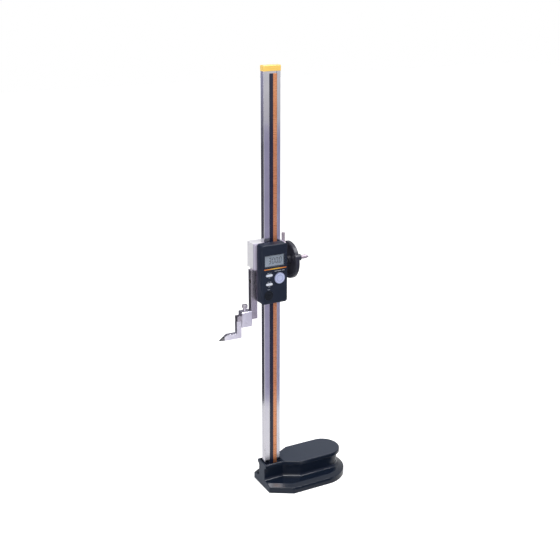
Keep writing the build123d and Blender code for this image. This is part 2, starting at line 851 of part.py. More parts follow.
# Front half: the moulded shell with the window, the keys and the battery's well.
with BuildPart() as display_case_front:
    with BuildSketch(front_plane(display_joint)):
        with Locations((display_middle_x, display_middle_z)):
            RectangleRounded(display_width, display_height, display_corner)
    extrude(amount=display_front_depth)
    fillet(display_case_front.faces().sort_by(Axis.Y)[0].edges(), display_edge)
    with BuildSketch(front_plane(display_joint)):
        with Locations((display_middle_x, display_middle_z)):
            RectangleRounded(
                display_width - 2 * shell, display_height - 2 * shell, display_corner - shell
            )
    extrude(amount=display_front_depth - shell, mode=Mode.SUBTRACT)
    # Bosses for the circuit board's screws.
    with BuildSketch(front_plane(board_front)):
        with Locations(*board_screw_places):
            Circle(board_boss_radius)
            Circle(board_screw_radius + hole_gap / 2, mode=Mode.SUBTRACT)
    extrude(amount=board_depth)
    # Window seat and opening.
    with BuildSketch(front_plane(display_face + window_thickness)):
        with Locations((lcd_x, lcd_z)):
            Rectangle(lcd_width + 2 * window_lap, lcd_height + 2 * window_lap)
    extrude(amount=window_thickness, mode=Mode.SUBTRACT)
    with BuildSketch(front_plane(inner_face)):
        with Locations((lcd_x, lcd_z)):
            Rectangle(lcd_width, lcd_height)
    extrude(amount=shell, mode=Mode.SUBTRACT)
    # Groove for the coloured stripe.
    with BuildSketch(front_plane(display_face + stripe_depth)):
        with Locations((stripe_x, stripe_z)):
            Rectangle(stripe_length, stripe_height)
    extrude(amount=stripe_depth, mode=Mode.SUBTRACT)
    # Holes for the keys.
    with BuildSketch(front_plane(inner_face)):
        with Locations((key_x, power_z), (key_x, zero_z)):
            SlotOverall(key_width + 2 * button_gap, key_height + 2 * button_gap)
        with Locations((data_x, data_z)):
            Circle(data_radius + button_gap)
    extrude(amount=shell, mode=Mode.SUBTRACT)
    # Battery's well, its mouth and the seat of its cap.
    with BuildSketch(front_plane(well_bottom)):
        with Locations((battery_x, battery_z)):
            Circle(battery_plug_radius + free_gap + battery_well_wall)
    extrude(amount=well_bottom - inner_face)
    with BuildSketch(front_plane(well_bottom)):
        with Locations((battery_x, battery_z)):
            Circle(battery_plug_radius + free_gap)
    extrude(amount=well_bottom - display_face, mode=Mode.SUBTRACT)
    with BuildSketch(front_plane(display_face + battery_cap_seat)):
        with Locations((battery_x, battery_z)):
            Circle(battery_cap_radius + free_gap)
    extrude(amount=battery_cap_seat, mode=Mode.SUBTRACT)
    # Mouth of the output socket, in the right wall.
    with BuildSketch(side_plane(display_right - shell)):
        with Locations((connector_y, connector_z)):
            Rectangle(
                connector_depth - 2 * connector_mouth_margin,
                connector_width - 2 * connector_mouth_margin,
            )
    extrude(amount=shell, mode=Mode.SUBTRACT)
finish(display_case_front.part, "display_case_front")

# Rear half: a plate screwed to the slider, with a tongue that the front half snaps over.
with BuildPart() as display_case_back:
    with BuildSketch(front_plane(slider_front)):
        with Locations((display_middle_x, display_middle_z)):
            RectangleRounded(display_width, display_height, display_corner)
    extrude(amount=display_back_depth)
    with BuildSketch(front_plane(display_joint)):
        with Locations((display_middle_x, display_middle_z)):
            RectangleRounded(
                display_width - 2 * shell, display_height - 2 * shell, display_corner - shell
            )
            RectangleRounded(
                display_width - 2 * (shell + tongue),
                display_height - 2 * (shell + tongue),
                display_corner - shell - tongue,
                mode=Mode.SUBTRACT,
            )
    extrude(amount=tongue_height)
    with BuildSketch(front_plane(slider_front)):
        with Locations(*unit_screw_places()):
            Circle(unit_screw_radius + hole_gap)
        with Locations((scale_middle, detector_middle_z)):
            Rectangle(link_width, link_height)
    extrude(amount=display_back_depth, mode=Mode.SUBTRACT)
finish(display_case_back.part, "display_case_back")

# Screws that hold the rear half to the slider.
with BuildPart() as unit_screws:
    with BuildSketch(front_plane(display_joint)):
        with Locations(*unit_screw_places()):
            Circle(unit_screw_head_radius)
    extrude(amount=unit_screw_head)
    with BuildSketch(front_plane(slider_front + unit_screw_bite)):
        with Locations(*unit_screw_places()):
            Circle(unit_screw_radius)
    extrude(amount=unit_screw_bite + display_back_depth)
finish(unit_screws.part, "unit_screws")

# Clear window in front of the liquid-crystal display.
with BuildPart() as lcd_window:
    with BuildSketch(front_plane(display_face + window_thickness)):
        with Locations((lcd_x, lcd_z)):
            Rectangle(lcd_width + 2 * window_lap, lcd_height + 2 * window_lap)
    extrude(amount=window_thickness)
finish(lcd_window.part, "lcd_window")

# Liquid-crystal display, between the shell's inner face and the circuit board.
with BuildPart() as lcd_module:
    with BuildSketch(front_plane(board_front)):
        with Locations((lcd_x, lcd_z)):
            Rectangle(lcd_width + 2 * lcd_border, lcd_height + 2 * lcd_border)
    extrude(amount=board_depth)
finish(lcd_module.part, "lcd_module")

with BuildPart() as stripe_inlay:
    with BuildSketch(front_plane(display_face + stripe_depth)):
        with Locations((stripe_x, stripe_z)):
            Rectangle(stripe_length, stripe_height)
    extrude(amount=stripe_depth)
finish(stripe_inlay.part, "stripe_inlay")

# Circuit board, cut out round the battery's well.
with BuildPart() as main_board:
    with BuildSketch(front_plane(board_back)):
        with Locations((display_middle_x, display_middle_z)):
            RectangleRounded(board_width, board_height, board_boss_radius)
        with Locations(*board_screw_places):
            Circle(board_screw_radius + hole_gap, mode=Mode.SUBTRACT)
        with Locations((battery_x, battery_z)):
            Circle(battery_plug_radius + battery_well_wall + 2 * free_gap, mode=Mode.SUBTRACT)
    extrude(amount=board_thickness)
finish(main_board.part, "main_board")

with BuildPart() as board_screws:
    with BuildSketch(front_plane(board_back + board_screw_head)):
        with Locations(*board_screw_places):
            Circle(board_screw_head_radius)
    extrude(amount=board_screw_head)
    with BuildSketch(front_plane(board_back)):
        with Locations(*board_screw_places):
            Circle(board_screw_radius)
    extrude(amount=board_thickness + board_depth - free_gap)
finish(board_screws.part, "board_screws")

# Rubber sheet with a dome under each key.
dome_height = board_depth - membrane_thickness - button_flange - slide_gap - button_travel - running_gap
membrane_low = zero_z - key_height / 2 - membrane_margin
membrane_high = power_z + key_height / 2 + membrane_margin
membrane_left = key_x - key_width / 2 - membrane_side
membrane_right = data_x + data_radius
with BuildPart() as keypad_membrane:
    with BuildSketch(front_plane(board_front)):
        with Locations(
            ((membrane_left + membrane_right) / 2, (membrane_low + membrane_high) / 2)
        ):
            Rectangle(membrane_right - membrane_left, membrane_high - membrane_low)
    extrude(amount=membrane_thickness)
    with BuildSketch(front_plane(board_front - membrane_thickness)):
        with Locations((key_x, power_z), (key_x, zero_z), (data_x, data_z)):
            Circle(dome_radius)
    extrude(amount=dome_height)
finish(keypad_membrane.part, "keypad_membrane")


def flange_plane():
    """Plane of the keys' flanges' rear faces."""
    return front_plane(inner_face + slide_gap + button_flange)


# Oval keys, kept in by their flanges.
with BuildPart() as power_button:
    with BuildSketch(flange_plane()):
        with Locations((key_x, power_z)):
            SlotOverall(key_width + 2 * flange_lap, key_height + 2 * flange_lap)
    extrude(amount=button_flange)
    with BuildSketch(flange_plane()):
        with Locations((key_x, power_z)):
            SlotOverall(key_width, key_height)
    extrude(amount=button_flange + slide_gap + shell + button_proud)
finish(power_button.part, "power_button")

with BuildPart() as zero_button:
    with BuildSketch(flange_plane()):
        with Locations((key_x, zero_z)):
            SlotOverall(key_width + 2 * flange_lap, key_height + 2 * flange_lap)
    extrude(amount=button_flange)
    with BuildSketch(flange_plane()):
        with Locations((key_x, zero_z)):
            SlotOverall(key_width, key_height)
    extrude(amount=button_flange + slide_gap + shell + button_proud)
finish(zero_button.part, "zero_button")

# Large round key with a ring cut in its face.
with BuildPart() as data_button:
    with BuildSketch(flange_plane()):
        with Locations((data_x, data_z)):
            Circle(data_radius + flange_lap)
    extrude(amount=button_flange)
    with BuildSketch(flange_plane()):
        with Locations((data_x, data_z)):
            Circle(data_radius)
    extrude(amount=button_flange + slide_gap + shell + button_proud)
    with BuildSketch(front_plane(display_face - button_proud + data_ring_depth)):
        with Locations((data_x, data_z)):
            Circle(data_ring_radius)
            Circle(data_ring_radius - data_ring_width, mode=Mode.SUBTRACT)
    extrude(amount=data_ring_depth, mode=Mode.SUBTRACT)
finish(data_button.part, "data_button")

# Battery, its contact plate and the coin-slotted cap.
battery_front = display_face + battery_cap_seat + battery_plug
with BuildPart() as battery_cap:
    with BuildSketch(front_plane(display_face + battery_cap_seat - slide_gap)):
        with Locations((battery_x, battery_z)):
            Circle(battery_cap_radius)
    extrude(amount=battery_cap_head)
    with BuildSketch(front_plane(battery_front - slide_gap)):
        with Locations((battery_x, battery_z)):
            Circle(battery_plug_radius)
    extrude(amount=battery_plug)
    with BuildSketch(
        front_plane(display_face + battery_cap_seat - slide_gap - battery_cap_head + coin_slot_depth)
    ):
        with Locations((battery_x, battery_z)):
            Rectangle(coin_slot_length, coin_slot_width)
    extrude(amount=coin_slot_depth, mode=Mode.SUBTRACT)
finish(battery_cap.part, "battery_cap")

with BuildPart() as coin_battery:
    with BuildSketch(front_plane(battery_front + battery_height)):
        with Locations((battery_x, battery_z)):
            Circle(battery_radius)
    extrude(amount=battery_height)
finish(coin_battery.part, "coin_battery")

with BuildPart() as battery_contact:
    with BuildSketch(front_plane(well_bottom + contact_thickness)):
        with Locations((battery_x, battery_z)):
            Circle(battery_plug_radius + free_gap + battery_well_wall)
    extrude(amount=contact_thickness)
finish(battery_contact.part, "battery_contact")

# Output socket on the board's rear face, and the cap in its mouth.
with BuildPart() as output_connector:
    with BuildSketch(side_plane(display_right - shell - connector_reach)):
        with Locations((connector_y, connector_z)):
            Rectangle(connector_depth, connector_width)
    extrude(amount=connector_reach)
finish(output_connector.part, "output_connector")

with BuildPart() as connector_cap:
    with BuildSketch(side_plane(display_right + slide_gap)):
        with Locations((connector_y, connector_z)):
            RectangleRounded(
                connector_depth + 2 * connector_cap_lap,
                connector_width + 2 * connector_cap_lap,
                connector_cap_lap,
            )
    extrude(amount=connector_cap_thickness)
    with BuildSketch(side_plane(display_right + slide_gap)):
        with Locations((connector_y, connector_z)):
            Rectangle(
                connector_depth - 2 * connector_mouth_margin - 2 * hole_gap,
                connector_width - 2 * connector_mouth_margin - 2 * hole_gap,
            )
    extrude(amount=-(shell + slide_gap - hole_gap))
finish(connector_cap.part, "connector_cap")

# Detector in the slider's window, close in front of the scale, and its link to the board.
detector_back = bearing_front - detector_stand_off
with BuildPart() as detector_board:
    with BuildSketch(front_plane(detector_back)):
        with Locations((scale_middle, detector_middle_z)):
            Rectangle(detector_width, detector_height)
    extrude(amount=detector_thickness)
finish(detector_board.part, "detector_board")

with BuildPart() as board_link:
    with BuildSketch(front_plane(detector_back - detector_thickness)):
        with Locations((scale_middle, detector_middle_z)):
            Rectangle(link_width, link_height)
    extrude(amount=detector_back - detector_thickness - board_back)
finish(board_link.part, "board_link")

# ============================================================ measuring arm
arm_left = arm_seat - arm_thickness
arm_bottom = slider_rest - arm_drop
arm_back = arm_width - arm_front
stub_top = arm_bottom + stub_height
stub_left = arm_left - stub_reach

with BuildPart() as measuring_arm:
    with BuildSketch(front_plane(arm_back)):
        with BuildLine():
            Polyline(
                (arm_seat, shoulder_z),
                (arm_seat, arm_bottom),
                (stub_left, arm_bottom),
                (stub_left, stub_top),
                (arm_left, stub_top),
                (arm_left, shoulder_z),
                close=True,
            )
        make_face()
    extrude(amount=arm_width)
    chamfer(measuring_arm.edges().filter_by(Axis.Y).sort_by(Axis.X)[:2], arm_edge)
    with BuildSketch(side_plane(arm_left)):
        with Locations((arm_middle_y, arm_screw_z)):
            Circle(arm_screw_radius + hole_gap)
    extrude(amount=arm_thickness, mode=Mode.SUBTRACT)
    with BuildSketch(side_plane(arm_left)):
        with Locations((arm_middle_y, arm_screw_z)):
            Circle(arm_screw_head_radius + hole_gap)
    extrude(amount=arm_screw_sink, mode=Mode.SUBTRACT)
    with BuildSketch(side_plane(arm_seat - dowel_half - free_gap)):
        with Locations(*[(arm_middle_y, z) for z in dowel_heights]):
            Circle(dowel_radius + hole_gap / 2)
    extrude(amount=dowel_half + free_gap, mode=Mode.SUBTRACT)
finish(measuring_arm.part, "measuring_arm")

with BuildPart() as arm_screw:
    with BuildSketch(side_plane(arm_left + arm_screw_sink - arm_screw_head)):
        with Locations((arm_middle_y, arm_screw_z)):
            Circle(arm_screw_head_radius)
    extrude(amount=arm_screw_head)
    with BuildSketch(side_plane(arm_left + arm_screw_sink)):
        with Locations((arm_middle_y, arm_screw_z)):
            Circle(arm_screw_radius)
    extrude(amount=arm_thickness - arm_screw_sink + arm_screw_bite)
    with BuildSketch(side_plane(arm_left + arm_screw_sink - arm_screw_head)):
        with Locations((arm_middle_y, arm_screw_z)):
            RegularPolygon(arm_screw_socket / 2, socket_sides, major_radius=False)
    extrude(amount=arm_screw_socket_depth, mode=Mode.SUBTRACT)
finish(arm_screw.part, "arm_screw")

with BuildPart() as arm_dowels:
    with BuildSketch(side_plane(arm_seat - dowel_half)):
        with Locations(*[(arm_middle_y, z) for z in dowel_heights]):
            Circle(dowel_radius)
    extrude(amount=2 * dowel_half)
finish(arm_dowels.part, "arm_dowels")

# ========================================================= scriber's clamp
box_right = arm_left - free_gap
box_left = box_right - clamp_box_length
box_half = arm_width / 2 + slide_gap + clamp_box_wall
shank_top = arm_bottom - slide_gap
shank_bottom = shank_top - scriber_size
cavity_bottom = shank_bottom - slide_gap
cavity_top = stub_top + slide_gap
thumb_x = box_right - thumb_screw_back
box_top = cavity_top + clamp_box_roof

# Box that goes round the arm's stub and the scriber's shank.
with BuildPart() as scriber_clamp_box:
    with BuildSketch(side_plane(box_left)):
        with Locations((arm_middle_y, (cavity_bottom - clamp_box_floor + box_top) / 2)):
            Rectangle(2 * box_half, box_top - cavity_bottom + clamp_box_floor)
            chamfer(vertices(), clamp_box_edge)
        with Locations((arm_middle_y, (cavity_bottom + cavity_top) / 2)):
            Rectangle(arm_width + 2 * slide_gap, cavity_top - cavity_bottom, mode=Mode.SUBTRACT)
    extrude(amount=clamp_box_length)
    with BuildSketch(Plane.XY.offset(cavity_top)):
        with Locations((thumb_x, arm_middle_y)):
            Circle(thumb_screw_radius + running_gap)
    extrude(amount=clamp_box_roof, mode=Mode.SUBTRACT)
finish(scriber_clamp_box.part, "scriber_clamp_box")

# Thumb screw with a ribbed head.
thumb_head_bottom = box_top + thumb_stem
rib_points = []
for corner in range(2 * thumb_ribs):
    radius = thumb_head_radius - thumb_rib_depth * (corner % 2)
    turn = math.pi * corner / thumb_ribs
    rib_points.append((thumb_x + radius * math.cos(turn), arm_middle_y + radius * math.sin(turn)))
with BuildPart() as thumb_screw:
    with BuildSketch(Plane.XY.offset(cavity_top)):
        with Locations((thumb_x, arm_middle_y)):
            Circle(thumb_screw_radius)
    extrude(amount=clamp_box_roof + thumb_stem)
    with BuildSketch(Plane.XY.offset(thumb_head_bottom)):
        with BuildLine():
            Polyline(*rib_points, close=True)
        make_face()
    extrude(amount=thumb_head)
finish(thumb_screw.part, "thumb_screw")

# ================================================================== scriber
drop_left = box_left - free_gap - scriber_size
blade_bottom = shank_top - scriber_drop
blade_top = blade_bottom + blade_height
flat_left = drop_left - blade_flat
point_x = drop_left - blade_reach
carbide_right = point_x + carbide_length
slope = (blade_height - point_height) / (flat_left - point_x)
carbide_top = blade_top - slope * (flat_left - carbide_right)
scriber_front = arm_middle_y - scriber_size / 2
plan_narrow = (scriber_size - point_width) / 2
plan_slope = plan_narrow / (flat_left - point_x)
carbide_narrow = plan_slope * (flat_left - carbide_right)

with BuildPart() as scriber_body:
    with BuildSketch(front_plane(scriber_front + scriber_size)):
        with BuildLine():
            Polyline(
                (drop_left, shank_top),
                (drop_left + scriber_tail, shank_top),
                (drop_left + scriber_tail, shank_bottom),
                (drop_left + scriber_size, shank_bottom),
                (drop_left + scriber_size, blade_bottom),
                (carbide_right, blade_bottom),
                (carbide_right, carbide_top),
                (flat_left, blade_top),
                (drop_left, blade_top),
                close=True,
            )
        make_face()
    extrude(amount=scriber_size)
    # The blade narrows towards its point, seen from above.
    with BuildSketch(Plane.XY.offset(blade_bottom)):
        with BuildLine():
            Polyline(
                (flat_left, scriber_front),
                (carbide_right, scriber_front + carbide_narrow),
                (carbide_right, scriber_front),
                close=True,
            )
        make_face()
        with BuildLine():
            Polyline(
                (flat_left, scriber_front + scriber_size),
                (carbide_right, scriber_front + scriber_size - carbide_narrow),
                (carbide_right, scriber_front + scriber_size),
                close=True,
            )
        make_face()
    extrude(amount=blade_height, mode=Mode.SUBTRACT)
finish(scriber_body.part, "scriber_body")

# Carbide point, brazed to the blade's end.
with BuildPart() as carbide_tip:
    with BuildSketch(front_plane(scriber_front + scriber_size)):
        with BuildLine():
            Polyline(
                (carbide_right, blade_bottom),
                (carbide_right, carbide_top),
                (point_x, blade_bottom + point_height),
                (point_x, blade_bottom),
                close=True,
            )
        make_face()
    extrude(amount=scriber_size)
    with BuildSketch(Plane.XY.offset(blade_bottom)):
        with BuildLine():
            Polyline(
                (carbide_right, scriber_front + carbide_narrow),
                (carbide_right, scriber_front + scriber_size - carbide_narrow),
                (point_x, scriber_front + scriber_size - plan_narrow),
                (point_x, scriber_front + plan_narrow),
                close=True,
            )
        make_face()
    extrude(amount=blade_height, mode=Mode.INTERSECT)
finish(carbide_tip.part, "carbide_tip")

# ======================================================== shaft and bearings
housing_end = slider_right + housing_reach
spigot_left = gib_room
with BuildPart() as shaft_housing:
    with BuildSketch(side_plane(spigot_left)):
        with Locations((pinion_y, pinion_z)):
            Circle(housing_radius)
    extrude(amount=housing_end - spigot_left)
    with BuildSketch(side_plane(slider_right)):
        with Locations((pinion_y, pinion_z)):
            RectangleRounded(housing_flange_width, housing_flange_height, housing_flange_round)
    extrude(amount=housing_flange)
    with BuildSketch(side_plane(spigot_left)):
        with Locations((pinion_y, pinion_z)):
            Circle(shaft_radius + free_gap)
    extrude(amount=housing_end - spigot_left, mode=Mode.SUBTRACT)
    with BuildSketch(side_plane(housing_end - bush_length)):
        with Locations((pinion_y, pinion_z)):
            Circle(bush_radius)
    extrude(amount=bush_length, mode=Mode.SUBTRACT)
    with BuildSketch(side_plane(slider_right)):
        with Locations((pinion_y, pinion_z)):
            with GridLocations(1, housing_screw_pitch, 1, 2):
                Circle(housing_screw_radius + hole_gap)
    extrude(amount=housing_flange, mode=Mode.SUBTRACT)
finish(shaft_housing.part, "shaft_housing")

with BuildPart() as housing_screws:
    with BuildSketch(side_plane(slider_right + housing_flange)):
        with Locations((pinion_y, pinion_z)):
            with GridLocations(1, housing_screw_pitch, 1, 2):
                Circle(housing_screw_head_radius)
    extrude(amount=housing_screw_head)
    with BuildSketch(side_plane(slider_right - housing_screw_bite)):
        with Locations((pinion_y, pinion_z)):
            with GridLocations(1, housing_screw_pitch, 1, 2):
                Circle(housing_screw_radius)
    extrude(amount=housing_screw_bite + housing_flange)
finish(housing_screws.part, "housing_screws")

# Bronze bushes, one in the slider and one in the housing's outer end.
with BuildPart() as shaft_bushes:
    with BuildSketch(side_plane(bush_left)):
        with Locations((pinion_y, pinion_z)):
            Circle(bush_radius)
            Circle(shaft_bore_radius, mode=Mode.SUBTRACT)
    extrude(amount=bush_length)
    with BuildSketch(side_plane(housing_end - bush_length)):
        with Locations((pinion_y, pinion_z)):
            Circle(bush_radius)
            Circle(shaft_bore_radius, mode=Mode.SUBTRACT)
    extrude(amount=bush_length)
finish(shaft_bushes.part, "shaft_bushes")

# ========================================================= pinion and wheel
# Involute pinion pinned to the shaft; one of its teeth points at the rack at rest.
base_circle = pitch_radius * math.cos(pressure_angle)
tip_radius = pitch_radius + pinion_addendum
root_radius = pitch_radius - dedendum
tooth_half_angle = math.pi / (2 * pinion_teeth) - backlash / (4 * pitch_radius)
flank_steps = 3


def involute(radius):
    """Angle of the involute at a radius, from where it leaves the base circle."""
    roll = math.sqrt(max(0.0, (radius / base_circle) ** 2 - 1))
    return roll - math.atan(roll)


def tooth_outline():
    """Points of the whole pinion, tooth by tooth, about the origin."""
    half_at_base = tooth_half_angle + involute(pitch_radius)
    radii = [
        base_circle + (tip_radius - base_circle) * step / flank_steps
        for step in range(flank_steps + 1)
    ]
    points = []
    for tooth in range(pinion_teeth):
        middle = math.pi + 2 * math.pi * tooth / pinion_teeth
        rising = [(root_radius, -half_at_base)]
        rising += [(radius, involute(radius) - half_at_base) for radius in radii]
        falling = [(radius, -angle) for radius, angle in reversed(rising)]
        for radius, angle in rising + falling:
            points.append(
                (radius * math.cos(middle + angle), radius * math.sin(middle + angle))
            )
    return points


hub_inner = housing_end + wheel_gap
wheel_inner = hub_inner + hub_proud
wheel_outer = wheel_inner + wheel_width
hub_outer = wheel_outer

pin_x = -pinion_face / 2 - pinion_hub / 2
pin_bottom = pinion_z - pinion_hub_radius

with BuildPart() as pinion:
    with BuildSketch(
        Plane(origin=(-pinion_face / 2, pinion_y, pinion_z), x_dir=(0, 1, 0), z_dir=(1, 0, 0))
    ):
        with BuildLine():
            Polyline(*tooth_outline(), close=True)
        make_face()
    extrude(amount=pinion_face)
    with BuildSketch(side_plane(-pinion_face / 2 - pinion_hub)):
        with Locations((pinion_y, pinion_z)):
            Circle(pinion_hub_radius)
    extrude(amount=pinion_hub)
    with BuildSketch(side_plane(-pinion_face / 2 - pinion_hub)):
        with Locations((pinion_y, pinion_z)):
            Circle(shaft_radius + press_gap)
    extrude(amount=pinion_hub + pinion_face, mode=Mode.SUBTRACT)
    with BuildSketch(Plane.XY.offset(pin_bottom)):
        with Locations((pin_x, pinion_y)):
            Circle(pinion_pin_radius + press_gap)
    extrude(amount=2 * pinion_hub_radius, mode=Mode.SUBTRACT)
finish(pinion.part, "pinion")

with BuildPart() as pinion_pin:
    with BuildSketch(Plane.XY.offset(pin_bottom)):
        with Locations((pin_x, pinion_y)):
            Circle(pinion_pin_radius)
    extrude(amount=2 * pinion_hub_radius)
finish(pinion_pin.part, "pinion_pin")

with BuildPart() as pinion_shaft:
    with BuildSketch(side_plane(bush_left)):
        with Locations((pinion_y, pinion_z)):
            Circle(shaft_radius)
    extrude(amount=hub_outer - bush_left)
    with BuildSketch(Plane.XY.offset(pin_bottom)):
        with Locations((pin_x, pinion_y)):
            Circle(pinion_pin_radius + press_gap)
    extrude(amount=2 * pinion_hub_radius, mode=Mode.SUBTRACT)
    with BuildSketch(side_plane(hub_outer - wheel_screw_bite - free_gap)):
        with Locations((pinion_y, pinion_z)):
            Circle(wheel_screw_radius + hole_gap / 2)
    extrude(amount=wheel_screw_bite + free_gap, mode=Mode.SUBTRACT)
finish(pinion_shaft.part, "pinion_shaft")

crank_y = pinion_y - crank_radius * math.cos(crank_angle)
crank_z = pinion_z + crank_radius * math.sin(crank_angle)
crank_face = wheel_outer + crank_boss_proud
web_outer = wheel_outer - web_back
web_inner = web_outer - web_thickness

# Dished hand wheel with a boss on its rim for the crank.
with BuildPart() as feed_wheel:
    with BuildSketch(Plane(origin=(0, pinion_y, pinion_z), x_dir=(1, 0, 0), z_dir=(0, -1, 0))):
        with BuildLine():
            Polyline(
                (hub_inner, shaft_radius + press_gap),
                (hub_inner, hub_radius),
                (web_inner, hub_radius + hub_proud),
                (web_inner, wheel_radius - rim_thickness - hub_proud),
                (wheel_inner, wheel_radius - rim_thickness),
                (wheel_inner, wheel_radius - wheel_edge),
                (wheel_inner + wheel_edge, wheel_radius),
                (wheel_outer - wheel_edge, wheel_radius),
                (wheel_outer, wheel_radius - wheel_edge),
                (wheel_outer, wheel_radius - rim_thickness),
                (web_outer, wheel_radius - rim_thickness - web_back),
                (web_outer, hub_radius + web_back),
                (hub_outer, hub_radius),
                (hub_outer, shaft_radius + press_gap),
                close=True,
            )
        make_face()
    revolve(axis=Axis((0, pinion_y, pinion_z), (1, 0, 0)))
    with BuildSketch(side_plane(wheel_inner)):
        with Locations((crank_y, crank_z)):
            Circle(crank_boss_radius)
    extrude(amount=crank_face - wheel_inner)
    with BuildSketch(side_plane(crank_face - crank_pin_bite - free_gap)):
        with Locations((crank_y, crank_z)):
            Circle(crank_pin_radius + hole_gap / 2)
    extrude(amount=crank_pin_bite + free_gap, mode=Mode.SUBTRACT)
finish(feed_wheel.part, "feed_wheel")

with BuildPart() as wheel_screw:
    with BuildSketch(side_plane(hub_outer)):
        with Locations((pinion_y, pinion_z)):
            Circle(wheel_screw_head_radius)
    extrude(amount=wheel_screw_head)
    with BuildSketch(side_plane(hub_outer)):
        with Locations((pinion_y, pinion_z)):
            Circle(wheel_screw_radius)
    extrude(amount=-wheel_screw_bite)
    with BuildSketch(side_plane(hub_outer + wheel_screw_head)):
        with Locations((pinion_y, pinion_z)):
            RegularPolygon(wheel_screw_socket / 2, socket_sides, major_radius=False)
    extrude(amount=-wheel_screw_socket_depth, mode=Mode.SUBTRACT)
finish(wheel_screw.part, "wheel_screw")

# Shoulder pin through the handle, and the handle that turns on it.
handle_inner = crank_face + slide_gap
handle_outer = handle_inner + crank_handle_length
with BuildPart() as crank_pin:
    with BuildSketch(side_plane(crank_face - crank_pin_bite)):
        with Locations((crank_y, crank_z)):
            Circle(crank_pin_radius)
    extrude(amount=handle_outer + slide_gap - crank_face + crank_pin_bite)
    with BuildSketch(side_plane(handle_outer + slide_gap)):
        with Locations((crank_y, crank_z)):
            Circle(crank_head_radius)
    extrude(amount=crank_head)
finish(crank_pin.part, "crank_pin")

with BuildPart() as crank_handle:
    with BuildSketch(side_plane(handle_inner)):
        with Locations((crank_y, crank_z)):
            Circle(crank_handle_radius)
    extrude(amount=crank_handle_length)
    chamfer(crank_handle.edges().filter_by(GeomType.CIRCLE), crank_handle_edge)
    with BuildSketch(side_plane(handle_inner)):
        with Locations((crank_y, crank_z)):
            Circle(crank_pin_radius + running_gap)
    extrude(amount=crank_handle_length, mode=Mode.SUBTRACT)
finish(crank_handle.part, "crank_handle")

# ============================================================= slider's lock
hub_left = slider_right + free_gap
with BuildPart() as clamp_screw:
    with BuildSketch(side_plane(gib_outer + slide_gap)):
        with Locations((0, clamp_z)):
            Circle(clamp_screw_radius)
    extrude(amount=hub_left + clamp_hub_length - gib_outer - slide_gap)
finish(clamp_screw.part, "clamp_screw")

with BuildPart() as clamp_lever:
    with BuildSketch(side_plane(hub_left)):
        with Locations((0, clamp_z)):
            Circle(clamp_hub_radius)
            Circle(clamp_screw_radius + press_gap, mode=Mode.SUBTRACT)
    extrude(amount=clamp_hub_length)
    with BuildSketch(Plane.XY.offset(clamp_z + lever_root)):
        with Locations((hub_left + clamp_hub_length / 2, 0)):
            Circle(clamp_lever_radius)
    extrude(amount=clamp_lever_length - lever_root)
finish(clamp_lever.part, "clamp_lever")
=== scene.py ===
import math

import bmesh
import bpy
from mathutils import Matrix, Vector


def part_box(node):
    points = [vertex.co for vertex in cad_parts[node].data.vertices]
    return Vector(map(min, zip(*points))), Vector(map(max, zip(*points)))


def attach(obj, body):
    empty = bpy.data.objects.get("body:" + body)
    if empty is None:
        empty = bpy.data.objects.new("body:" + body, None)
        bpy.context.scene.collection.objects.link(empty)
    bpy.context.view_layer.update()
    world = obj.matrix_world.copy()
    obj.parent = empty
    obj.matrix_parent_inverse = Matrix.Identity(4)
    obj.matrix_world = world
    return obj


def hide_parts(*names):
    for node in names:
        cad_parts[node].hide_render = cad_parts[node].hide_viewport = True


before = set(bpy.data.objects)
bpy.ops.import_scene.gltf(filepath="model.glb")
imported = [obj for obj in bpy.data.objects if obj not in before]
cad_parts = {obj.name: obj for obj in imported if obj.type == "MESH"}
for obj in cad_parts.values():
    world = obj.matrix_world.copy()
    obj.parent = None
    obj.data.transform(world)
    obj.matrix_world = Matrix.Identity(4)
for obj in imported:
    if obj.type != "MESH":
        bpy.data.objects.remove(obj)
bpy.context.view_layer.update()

# Digital height gauge.  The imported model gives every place; this script adds finishes, small
# pieces, floor, light and camera.  Lengths are in metres; MM turns millimetres into them.
MM = 0.001

# ================================================================ material helpers
# Places of the sockets of a Mix node, which has its own set for colours and for numbers.
MIX_COLOUR_A, MIX_COLOUR_B, MIX_COLOUR_OUT = 6, 7, 2
MIX_NUMBER_A, MIX_NUMBER_B, MIX_NUMBER_OUT = 2, 3, 0
BEVEL_SAMPLES = 6
EDGE_COSINE = 0.8  # between a face's normal and its rounded one, at an edge
FACE_COSINE = 0.999  # and on the open face


def node(tree, kind, **values):
    """New node; a value sets the node's own field, or else the default of the input of that name."""
    made = tree.nodes.new(kind)
    for key, value in values.items():
        if hasattr(made, key):
            setattr(made, key, value)
        else:
            made.inputs[key.replace("_", " ").title()].default_value = value
    return made


def row_coordinates(tree, stretch=(1, 1, 1)):
    """Place in the row frame in metres, stretched to give the grain a direction."""
    place = node(tree, "ShaderNodeTexCoord")
    mapping = node(tree, "ShaderNodeMapping", Scale=stretch)
    tree.links.new(place.outputs["Object"], mapping.inputs["Vector"])
    return mapping.outputs["Vector"]


def noise(tree, scale, detail=4.0, stretch=(1, 1, 1)):
    """Factor of a noise texture, scale in cells per metre."""
    texture = node(tree, "ShaderNodeTexNoise", scale=scale, detail=detail)
    tree.links.new(row_coordinates(tree, stretch), texture.inputs["Vector"])
    return texture.outputs["Fac"]


def remap(tree, factor, low, high, start=0.3, end=0.7):
    """Value that goes from low to high as the factor goes from start to end."""
    ranged = node(tree, "ShaderNodeMapRange")
    for name, value in (("From Min", start), ("From Max", end), ("To Min", low), ("To Max", high)):
        ranged.inputs[name].default_value = value
    tree.links.new(factor, ranged.inputs["Value"])
    return ranged.outputs["Result"]


